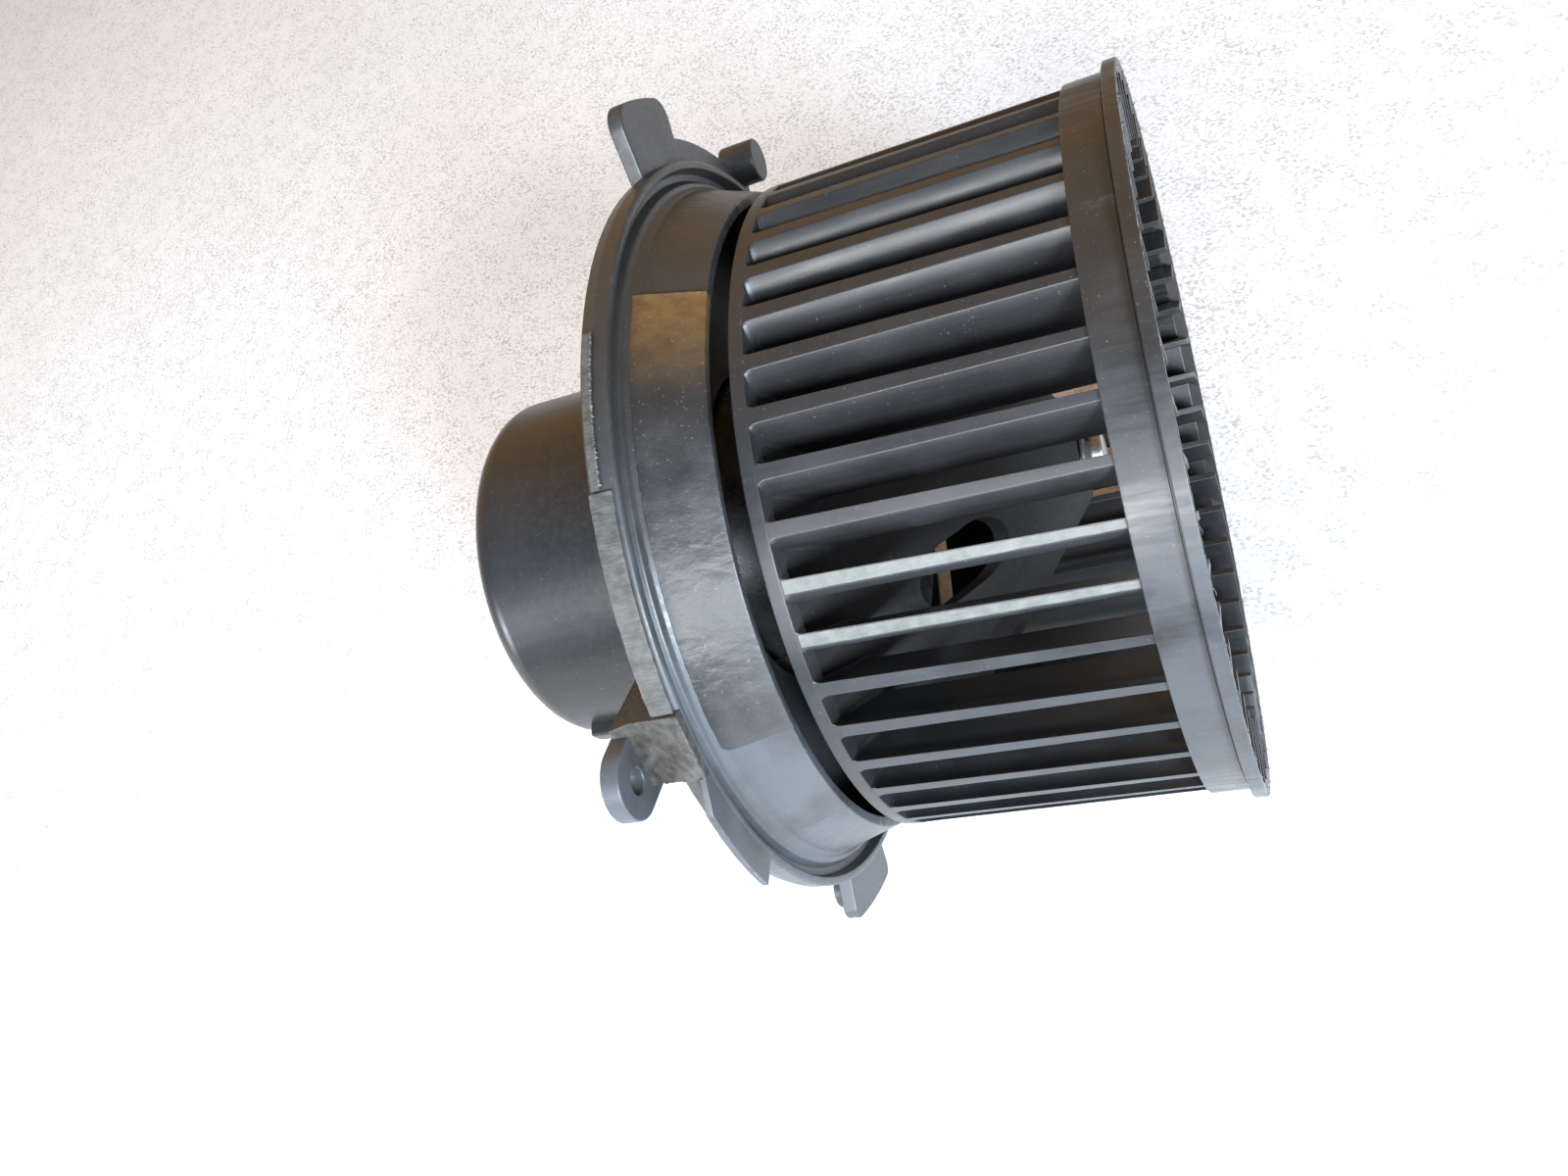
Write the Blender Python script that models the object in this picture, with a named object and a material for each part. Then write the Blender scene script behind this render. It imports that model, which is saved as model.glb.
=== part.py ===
"""Car heater blower: a squirrel-cage wheel on a direct-current motor, held in a moulded mounting flange.

World frame, metres. The spin axis is +Y and points at the inlet, +Z is up, and the origin is on the spin axis
in the plane of the flange's front face. Angles round the axis start at +Z and grow towards +X.
"""

import math

import bmesh
import bpy
from mathutils import Matrix, Vector

MM = 0.001
FULL_TURN = math.tau

# Driving dimensions, in metres.
LIP_RADIUS = 74.0 * MM
WHEEL_FRONT = 92.5 * MM
WHEEL_BACK = 21.1 * MM
RING_RADIUS = 71.6 * MM
BAND_RADIUS = 72.2 * MM
BLADE_COUNT = 44
SHAFT_RADIUS = 4.0 * MM
CAN_RADIUS = 35.0 * MM
COVER_RADIUS = 41.4 * MM
COVER_END = -59.2 * MM
RIM_RADIUS = 82.3 * MM
FIT_GAP = 0.3 * MM

# The wheel.
LIP_WIDTH = 2.5 * MM
BAND_WIDTH = 10.2 * MM
BAND_BORE = 69.6 * MM
RING_WIDTH = 2.9 * MM
BOSS_RADIUS = 9.0 * MM
BOSS_FRONT = 69.5 * MM
BOSS_BACK = 52.0 * MM
CONE_SLOPE = 1.267
CONE_WALL = 3.2 * MM
BLADE_DEPTH = 12.4 * MM
BLADE_CREST = 4.9 * MM
BLADE_BOW = 2.2 * MM
BLADE_LEAN = 0.215
BLADE_BACK_EDGE = 3.0 * MM
BLADE_FRONT_EDGE = 1.8 * MM
BLADE_ROOT_EDGE = 1.4 * MM
BLADE_STEPS = 5
FIRST_BLADE = math.radians(-6.55)
WINDOW_COUNT = 6
WINDOW_ANGLE = math.radians(57.0)
WINDOW_INNER = 27.0 * MM
WINDOW_OUTER = 46.0 * MM
WINDOW_HALF_WIDTH = 6.5 * MM

# The flange.
PLATE_BACK = -3.2 * MM
PLATE_FRONT = -0.7 * MM
LUG_FRONT = 0.2 * MM
PLATE_BORE = 36.0 * MM
COLLAR_FRONT = 16.5 * MM
COLLAR_FRONT_RADIUS = 71.6 * MM
COLLAR_BASE_RADIUS = 76.2 * MM
COLLAR_WALL = 2.2 * MM
RIM_FRONT = 3.1 * MM
GROOVE_FLOOR = 0.5 * MM
BEAD_FRONT = 2.5 * MM
BEAD_RADIUS = 77.8 * MM
EAR_ANGLE = math.radians(61.3)
BRACKET_ANGLE = math.radians(58.6)
BRACKET_BACK = -14.6 * MM
BRACKET_HALF_WIDTH = 7.4 * MM
BRACKET_SKEW = -0.235
WING_THICKNESS = 1.5 * MM
EAR_THICKNESS = 3.9 * MM
EAR_HOLE_RADIUS = 2.4 * MM

# Cover screws.
SCREW_ANGLES = [math.radians(angle) for angle in (20.0, 140.0, 260.0)]
SCREW_CIRCLE = 50.0 * MM
SCREW_RADIUS = 1.6 * MM
SCREW_HOLE_RADIUS = 1.95 * MM

# The motor.
CAN_BACK = -54.5 * MM
CAN_FRONT = 22.0 * MM
CAN_BORE = 32.2 * MM
BEARING_RADIUS = 6.5 * MM
BEARING_BORE = SHAFT_RADIUS + FIT_GAP
SEAT_RADIUS = BEARING_RADIUS + FIT_GAP
CORE_RADIUS = 22.0 * MM
CORE_SLOTS = 10
COMMUTATOR_RADIUS = 11.0 * MM
BRUSH_Y = -39.0 * MM
BRUSH_HALF_WIDTH = 3.2 * MM
BRUSH_HALF_HEIGHT = 2.5 * MM
BRUSH_INNER = COMMUTATOR_RADIUS + FIT_GAP
BRUSH_OUTER = 20.0 * MM
TUBE_INNER = 13.5 * MM
TUBE_OUTER = 30.6 * MM
TUBE_WALL = 0.8 * MM
BOLT_CIRCLE = 28.5 * MM
BOLT_RADIUS = 1.8 * MM

# The plug socket on the back of the flange.
SOCKET_ANGLE = math.radians(180.0)
SOCKET_RADIUS = 60.0 * MM
SOCKET_BACK = -20.0 * MM


def clear_scene():
    for old in list(bpy.data.objects):
        bpy.data.objects.remove(old)


def plain_material(name, colour, roughness, metallic):
    material = bpy.data.materials.new(name)
    material.use_nodes = True
    shader = material.node_tree.nodes["Principled BSDF"]
    shader.inputs["Base Color"].default_value = (*colour, 1.0)
    shader.inputs["Roughness"].default_value = roughness
    shader.inputs["Metallic"].default_value = metallic
    return material


def add_object(name, shape, look, sharp_degrees=35.0):
    """Turns a bmesh into an object with its own material, smooth except at sharp edges."""
    bmesh.ops.recalc_face_normals(shape, faces=shape.faces)
    mesh = bpy.data.meshes.new(name)
    shape.to_mesh(mesh)
    shape.free()
    mesh.shade_smooth()
    mesh.set_sharp_from_angle(angle=math.radians(sharp_degrees))
    obj = bpy.data.objects.new(name, mesh)
    bpy.context.scene.collection.objects.link(obj)
    if look:
        mesh.materials.append(plain_material(name + "_material", *look))
    else:
        obj.hide_render = True
        obj.display_type = "WIRE"
    return obj


def set_origin(obj, point):
    """Puts the object's origin at this point and leaves its shape where it is."""
    obj.data.transform(Matrix.Translation(Vector(point)).inverted())
    obj.location = point


def boolean(target, tool, operation):
    modifier = target.modifiers.new(operation.lower() + "_" + tool.name, "BOOLEAN")
    modifier.operation = operation
    modifier.solver = "EXACT"
    modifier.object = tool


def at(radius, angle, y):
    """The point at this radius and angle from the spin axis."""
    return (radius * math.sin(angle), y, radius * math.cos(angle))


def local(radial, across, angle, y):
    """A point given along and across the radius at this angle."""
    return (
        radial * math.sin(angle) + across * math.cos(angle),
        y,
        radial * math.cos(angle) - across * math.sin(angle),
    )


def add_ring(shape, profile, segments, start=0.0, sweep=FULL_TURN):
    """Turns a closed outline of (y, radius) points about the Y axis."""
    whole = sweep >= FULL_TURN
    steps = segments if whole else segments + 1
    loops = []
    for step in range(steps):
        angle = start + sweep * step / segments
        loops.append([shape.verts.new(at(radius, angle, y)) for y, radius in profile])
    count = len(profile)
    for step in range(segments):
        here = loops[step]
        there = loops[(step + 1) % steps]
        for i in range(count):
            j = (i + 1) % count
            shape.faces.new((here[i], here[j], there[j], there[i]))
    if not whole:
        shape.faces.new(loops[0])
        shape.faces.new(loops[-1])


def add_turned(shape, profile, segments):
    """Turns an open outline about the Y axis; its first and last points are on the axis."""
    first = shape.verts.new((0.0, profile[0][0], 0.0))
    last = shape.verts.new((0.0, profile[-1][0], 0.0))
    loops = []
    for step in range(segments):
        angle = FULL_TURN * step / segments
        loops.append([shape.verts.new(at(radius, angle, y)) for y, radius in profile[1:-1]])
    for step in range(segments):
        here = loops[step]
        there = loops[(step + 1) % segments]
        shape.faces.new((first, here[0], there[0]))
        shape.faces.new((last, there[-1], here[-1]))
        for i in range(len(here) - 1):
            shape.faces.new((here[i], here[i + 1], there[i + 1], there[i]))


def add_prism(shape, low, high):
    """Joins two outlines with the same number of points into a closed prism."""
    bottom = [shape.verts.new(point) for point in low]
    top = [shape.verts.new(point) for point in high]
    count = len(bottom)
    for i in range(count):
        j = (i + 1) % count
        shape.faces.new((bottom[i], bottom[j], top[j], top[i]))
    shape.faces.new(bottom)
    shape.faces.new(top)


def add_plate(shape, outline, back, front):
    """Extrudes an outline of (x, z) points along Y."""
    add_prism(shape, [(x, back, z) for x, z in outline], [(x, front, z) for x, z in outline])


def add_post(shape, radius, centre_radius, angle, back, front, sides=20):
    """A round post parallel to the spin axis."""
    outline = []
    for step in range(sides):
        turn = FULL_TURN * step / sides
        point = local(centre_radius + radius * math.cos(turn), radius * math.sin(turn), angle, 0.0)
        outline.append((point[0], point[2]))
    add_plate(shape, outline, back, front)


def add_block(shape, radial, across, angle, y_range):
    """A block between two radial, two across and two Y limits at an angle round the axis."""
    corners = (
        (radial[0], across[0]),
        (radial[1], across[0]),
        (radial[1], across[1]),
        (radial[0], across[1]),
    )
    low = [local(r, a, angle, y_range[0]) for r, a in corners]
    high = [local(r, a, angle, y_range[1]) for r, a in corners]
    add_prism(shape, low, high)


def sector_outline(inner, outer, start, end, corner):
    """A piece of ring in the (x, z) plane with its two outer corners rounded."""
    points = []
    turn = corner / outer
    inner_steps = 4
    for step in range(inner_steps + 1):
        angle = end + (start - end) * step / inner_steps
        points.append((inner * math.sin(angle), inner * math.cos(angle)))
    corner_steps = 5
    for edge, side in ((start, 1.0), (end, -1.0)):
        arc = []
        for step in range(corner_steps + 1):
            slant = math.pi / 2 * step / corner_steps
            radius = outer - corner * (1.0 - math.sin(slant))
            angle = edge + side * turn * (1.0 - math.cos(slant))
            arc.append((radius * math.sin(angle), radius * math.cos(angle)))
        if side < 0.0:
            arc.reverse()
        points.extend(arc)
        if side > 0.0:
            for step in range(1, inner_steps):
                angle = start + turn + (end - start - 2.0 * turn) * step / inner_steps
                points.append((outer * math.sin(angle), outer * math.cos(angle)))
    return points


def ear_outline(base, half_width, centre_radius, radius, angle):
    """A tongue in the (x, z) plane: a straight base, and a round end."""
    points = [local(base, -half_width, angle, 0.0), local(base, half_width, angle, 0.0)]
    steps = 14
    for step in range(steps + 1):
        turn = math.pi / 2 - math.pi * step / steps
        points.append(
            local(centre_radius + radius * math.cos(turn), radius * math.sin(turn), angle, 0.0)
        )
    return [(x, z) for x, y, z in points]


def cone_radius(y):
    """Outer radius of the wheel's hub cone at this Y."""
    return BOSS_RADIUS + CONE_SLOPE * (BOSS_FRONT - y)


def blade_bow(depth):
    """How far a blade leans along the turn at this distance inside its outer edge: curved, then straight."""
    curve = BLADE_BOW * (1.0 - max(0.0, 1.0 - depth / BLADE_CREST) ** 2)
    return curve + BLADE_LEAN * max(0.0, depth - BLADE_CREST)


def build_wheel():
    """One moulding: back ring, hub cone with its boss, blades, front band and lip."""
    ring_front = WHEEL_BACK + RING_WIDTH
    boss_wall = BOSS_RADIUS + 0.5 * MM
    cone_meets_boss = BOSS_FRONT - (boss_wall + CONE_WALL - BOSS_RADIUS) / CONE_SLOPE
    hub_bore = BEARING_RADIUS + FIT_GAP
    hub = bmesh.new()
    hub_profile = [
        (BOSS_FRONT, hub_bore),
        (BOSS_FRONT, BOSS_RADIUS),
        (ring_front, cone_radius(ring_front)),
        (ring_front, RING_RADIUS),
        (WHEEL_BACK, RING_RADIUS - 0.1 * MM),
        (WHEEL_BACK, cone_radius(WHEEL_BACK) - CONE_WALL),
        (cone_meets_boss, boss_wall),
        (BOSS_BACK, boss_wall),
        (BOSS_BACK, hub_bore),
    ]
    add_ring(hub, hub_profile, 2 * BLADE_COUNT)
    wheel = add_object("blower_wheel", hub, ((0.03, 0.03, 0.032), 0.45, 0.0))

    windows = bmesh.new()
    for i in range(WINDOW_COUNT):
        angle = WINDOW_ANGLE + FULL_TURN * i / WINDOW_COUNT
        outline = []
        for end, side in ((WINDOW_OUTER, 1.0), (WINDOW_INNER, -1.0)):
            centre = end - side * WINDOW_HALF_WIDTH
            for step in range(9):
                turn = math.pi / 2 - math.pi * step / 8
                point = local(
                    centre + side * WINDOW_HALF_WIDTH * math.cos(turn),
                    side * WINDOW_HALF_WIDTH * math.sin(turn),
                    angle,
                    0.0,
                )
                outline.append((point[0], point[2]))
        add_plate(windows, outline, ring_front, BOSS_FRONT)
    cutter = add_object("window_cutter", windows, None)
    boolean(wheel, cutter, "DIFFERENCE")

    band = bmesh.new()
    lip_back = WHEEL_FRONT - LIP_WIDTH
    band_back = lip_back - BAND_WIDTH + LIP_WIDTH
    lip_edge = 0.4 * MM
    band_profile = [
        (band_back, BAND_BORE),
        (band_back, BAND_RADIUS),
        (lip_back, BAND_RADIUS),
        (lip_back, LIP_RADIUS),
        (WHEEL_FRONT - lip_edge, LIP_RADIUS),
        (WHEEL_FRONT, LIP_RADIUS - lip_edge),
        (WHEEL_FRONT, LIP_RADIUS - 1.8 * MM),
        (lip_back, BAND_BORE),
    ]
    add_ring(band, band_profile, 2 * BLADE_COUNT)
    band_tool = add_object("band_tool", band, None)

    blades = bmesh.new()
    blade_front = WHEEL_FRONT - 0.3 * MM
    blade_back = WHEEL_BACK + 0.5 * RING_WIDTH
    for i in range(BLADE_COUNT):
        angle = FIRST_BLADE + FULL_TURN * i / BLADE_COUNT
        low = []
        high = []
        for side in (0, 1):
            steps = range(BLADE_STEPS + 1) if side == 0 else range(BLADE_STEPS, -1, -1)
            for step in steps:
                depth = step / BLADE_STEPS
                radial = RING_RADIUS - 0.1 * MM - BLADE_DEPTH * depth
                across = blade_bow(BLADE_DEPTH * depth)
                thick_low = BLADE_BACK_EDGE + (BLADE_ROOT_EDGE - BLADE_BACK_EDGE) * depth
                thick_high = BLADE_FRONT_EDGE + (BLADE_ROOT_EDGE - BLADE_FRONT_EDGE) * depth
                distance = math.hypot(radial, across)
                on_cone = BOSS_FRONT - (distance + 0.5 * CONE_WALL - BOSS_RADIUS) / CONE_SLOPE
                low.append(
                    local(radial, across - side * thick_low, angle, max(blade_back, on_cone))
                )
                high.append(local(radial, across - side * thick_high, angle, blade_front))
        add_prism(blades, low, high)
    blade_tool = add_object("blade_tool", blades, None)
    boolean(wheel, blade_tool, "UNION")
    boolean(wheel, band_tool, "UNION")


def bracket_side(across):
    """One side of the bracket block, at this distance across: it reaches from behind the plate to the rim."""
    back = BRACKET_BACK + 0.4 * MM
    inside_plate = PLATE_BACK + 1.2 * MM
    rim_inner = RIM_RADIUS - 1.2 * MM
    outline = (
        (back, 57.0 * MM),
        (back, 80.0 * MM),
        (-9.5 * MM, 80.0 * MM),
        (RIM_FRONT - 0.1 * MM, 84.4 * MM),
        (RIM_FRONT - 0.1 * MM, rim_inner),
        (inside_plate, rim_inner),
        (inside_plate, 57.0 * MM),
    )
    middle = 0.5 * (back + RIM_FRONT)
    return [local(r, across + BRACKET_SKEW * (y - middle), BRACKET_ANGLE, y) for y, r in outline]


def lower_wing_outline():
    """The lower wing in the (x, z) plane: slanted where it leaves the bracket, pointed at its far end."""
    start = math.radians(62.0)
    bend = math.radians(65.6)
    end = math.radians(82.0)
    steps = 5
    points = [at(RIM_RADIUS - MM, end + (start - end) * step / steps, 0.0) for step in range(steps + 1)]
    points.append(at(84.4 * MM, start, 0.0))
    points += [at(88.2 * MM, bend + (end - bend) * step / steps, 0.0) for step in range(steps + 1)]
    return [(x, z) for x, y, z in points]


def build_flange():
    """One moulding: plate, rim, groove, bead, tapered collar, lugs, bracket and screw bosses."""
    look = ((0.028, 0.028, 0.03), 0.5, 0.0)
    shape = bmesh.new()
    collar_foot = COLLAR_BASE_RADIUS + 0.6 * MM
    profile = [
        (PLATE_BACK, PLATE_BORE),
        (PLATE_BACK, RIM_RADIUS - 0.6 * MM),
        (LUG_FRONT - 0.4 * MM, RIM_RADIUS + 0.4 * MM),
        (RIM_FRONT - 0.4 * MM, RIM_RADIUS + 0.4 * MM),
        (RIM_FRONT, RIM_RADIUS - 0.2 * MM),
        (RIM_FRONT, RIM_RADIUS - 1.4 * MM),
        (GROOVE_FLOOR, RIM_RADIUS - 2.0 * MM),
        (GROOVE_FLOOR, RIM_RADIUS - 3.6 * MM),
        (BEAD_FRONT, BEAD_RADIUS),
        (BEAD_FRONT + 0.4 * MM, collar_foot),
        (BEAD_FRONT + 1.9 * MM, COLLAR_BASE_RADIUS - 0.5 * MM),
        (COLLAR_FRONT, COLLAR_FRONT_RADIUS),
        (COLLAR_FRONT, COLLAR_FRONT_RADIUS - COLLAR_WALL),
        (PLATE_FRONT, COLLAR_BASE_RADIUS - COLLAR_WALL - 1.6 * MM),
        (PLATE_FRONT, PLATE_BORE),
    ]
    add_ring(shape, profile, 76)
    flange = add_object("mounting_flange", shape, look)

    lugs = bmesh.new()
    root = RIM_RADIUS - 2.2 * MM
    tab = sector_outline(root, 97.0 * MM, math.radians(-48.5), math.radians(-32.0), 5.0 * MM)
    add_plate(lugs, tab, PLATE_BACK, LUG_FRONT)
    fin = sector_outline(root, 93.6 * MM, math.radians(117.8), math.radians(135.4), 3.0 * MM)
    add_plate(lugs, fin, PLATE_BACK, LUG_FRONT)
    wing_front = RIM_FRONT - 0.1 * MM
    add_plate(lugs, lower_wing_outline(), wing_front - WING_THICKNESS, wing_front)
    lug_tool = add_object("lug_tool", lugs, None)
    boolean(flange, lug_tool, "UNION")

    upper = bmesh.new()
    wing = sector_outline(root, 88.6 * MM, math.radians(-74.0), math.radians(-47.0), 1.5 * MM)
    add_plate(upper, wing, PLATE_BACK + 0.2 * MM, LUG_FRONT - 0.1 * MM)
    wing_tool = add_object("wing_tool", upper, None)
    boolean(flange, wing_tool, "UNION")

    neck = bmesh.new()
    boss_angle = math.radians(-73.5)
    neck_outline = ear_outline(root + 0.3 * MM, 7.0 * MM, 91.5 * MM, 4.4 * MM, boss_angle)
    add_plate(neck, neck_outline, PLATE_BACK + 0.4 * MM, LUG_FRONT - 0.3 * MM)
    neck_tool = add_object("neck_tool", neck, None)
    boolean(flange, neck_tool, "UNION")

    posts = bmesh.new()
    add_post(posts, 5.2 * MM, 92.0 * MM, boss_angle, PLATE_BACK - 0.5 * MM, 5.2 * MM)
    rear_boss_angle = math.radians(123.0)
    add_post(posts, 4.5 * MM, 88.0 * MM, rear_boss_angle, PLATE_BACK - 3.0 * MM, 0.0)
    for angle in SCREW_ANGLES:
        add_post(posts, 4.2 * MM, SCREW_CIRCLE, angle, PLATE_BACK + 0.6 * MM, 7.0 * MM)
    post_tool = add_object("post_tool", posts, None)
    boolean(flange, post_tool, "UNION")

    bracket = bmesh.new()
    ear_front = BRACKET_BACK + EAR_THICKNESS
    add_prism(bracket, bracket_side(-BRACKET_HALF_WIDTH), bracket_side(BRACKET_HALF_WIDTH))
    bracket_tool = add_object("bracket_tool", bracket, None)
    boolean(flange, bracket_tool, "UNION")
    ear = bmesh.new()
    ear_shape = ear_outline(60.0 * MM, 7.4 * MM, 83.6 * MM, 7.4 * MM, EAR_ANGLE)
    add_plate(ear, ear_shape, BRACKET_BACK, ear_front)
    ear_tool = add_object("ear_tool", ear, None)
    boolean(flange, ear_tool, "UNION")

    pads = bmesh.new()
    pad_top = RIM_RADIUS + 1.1 * MM
    pad_root = RIM_RADIUS - 0.9 * MM
    narrow = [(-2.0 * MM, pad_root), (-2.0 * MM, pad_top), (-0.2 * MM, pad_top), (-0.2 * MM, pad_root)]
    add_ring(pads, narrow, 6, math.radians(3.5), math.radians(20.5))
    wide = [(-2.6 * MM, pad_root), (-2.6 * MM, pad_top), (2.1 * MM, pad_top), (2.1 * MM, pad_root)]
    add_ring(pads, wide, 8, math.radians(24.3), math.radians(28.0))
    pad_tool = add_object("pad_tool", pads, None)
    boolean(flange, pad_tool, "UNION")

    patch = bmesh.new()
    patch_rise = 0.45 * MM
    patch_profile = [
        (5.0 * MM, COLLAR_BASE_RADIUS - 2.0 * MM),
        (5.0 * MM, COLLAR_BASE_RADIUS - 0.7 * MM + patch_rise),
        (COLLAR_FRONT + 0.4 * MM, COLLAR_FRONT_RADIUS + patch_rise),
        (COLLAR_FRONT + 0.4 * MM, COLLAR_FRONT_RADIUS - 1.2 * MM),
    ]
    add_ring(patch, patch_profile, 16, math.radians(-5.5), math.radians(69.0))
    patch_tool = add_object("patch_tool", patch, None)
    boolean(flange, patch_tool, "UNION")

    holes = bmesh.new()
    add_post(holes, EAR_HOLE_RADIUS, 83.6 * MM, EAR_ANGLE, BRACKET_BACK - MM, ear_front + MM)
    for angle in SCREW_ANGLES:
        add_post(holes, SCREW_HOLE_RADIUS, SCREW_CIRCLE, angle, PLATE_BACK - MM, 5.6 * MM)
    hole_tool = add_object("hole_tool", holes, None)
    boolean(flange, hole_tool, "DIFFERENCE")


def build_cover():
    """The plastic cup over the motor, with a rib along its side and three screw ears."""
    corner = 6.3 * MM
    wall = 2.4 * MM
    front = PLATE_BACK - FIT_GAP
    outer = [(front, COVER_RADIUS)]
    inner = [(COVER_END + wall, 0.0)]
    steps = 6
    for step in range(steps + 1):
        turn = math.pi / 2 * step / steps
        outer.append(
            (
                COVER_END + corner * (1.0 - math.sin(turn)),
                COVER_RADIUS - corner * (1.0 - math.cos(turn)),
            )
        )
    for step in range(4):
        turn = math.pi / 2 * (1.0 - step / 3)
        inner.append(
            (
                COVER_END + corner - (corner - wall) * math.sin(turn),
                COVER_RADIUS - corner + (corner - wall) * math.cos(turn),
            )
        )
    inner.append((front, COVER_RADIUS - wall))
    outer.append((COVER_END, 0.0))
    shape = bmesh.new()
    add_turned(shape, inner + outer, 56)
    cover = add_object("motor_cover", shape, ((0.03, 0.03, 0.031), 0.33, 0.0))

    rib = bmesh.new()
    add_block(
        rib,
        (COVER_RADIUS - 1.4 * MM, COVER_RADIUS + 3.0 * MM),
        (-2.5 * MM, 2.5 * MM),
        math.radians(98.0),
        (-50.8 * MM, front - 0.5 * MM),
    )
    ear_back = front - 2.8 * MM
    for angle in SCREW_ANGLES:
        outline = ear_outline(COVER_RADIUS - 1.2 * MM, 6.5 * MM, SCREW_CIRCLE, 5.0 * MM, angle)
        add_plate(rib, outline, ear_back, front)
    rib_tool = add_object("rib_tool", rib, None)
    boolean(cover, rib_tool, "UNION")
    holes = bmesh.new()
    for angle in SCREW_ANGLES:
        add_post(holes, SCREW_HOLE_RADIUS, SCREW_CIRCLE, angle, ear_back - MM, front + MM)
    hole_tool = add_object("cover_hole_tool", holes, None)
    boolean(cover, hole_tool, "DIFFERENCE")

    head_front = ear_back - FIT_GAP
    for i, angle in enumerate(SCREW_ANGLES):
        screw = bmesh.new()
        add_turned(
            screw,
            [
                (head_front - 1.0 * MM, 0.0),
                (head_front - 1.0 * MM, 1.3 * MM),
                (head_front - 2.2 * MM, 1.5 * MM),
                (head_front - 1.9 * MM, 2.7 * MM),
                (head_front - 0.9 * MM, 3.4 * MM),
                (head_front, 3.4 * MM),
                (head_front, SCREW_RADIUS),
                (4.6 * MM, SCREW_RADIUS),
                (5.2 * MM, 0.9 * MM),
                (5.2 * MM, 0.0),
            ],
            14,
        )
        bmesh.ops.translate(screw, verts=screw.verts, vec=at(SCREW_CIRCLE, angle, 0.0))
        add_object(f"cover_screw_{i + 1}", screw, ((0.55, 0.55, 0.52), 0.3, 1.0))


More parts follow.
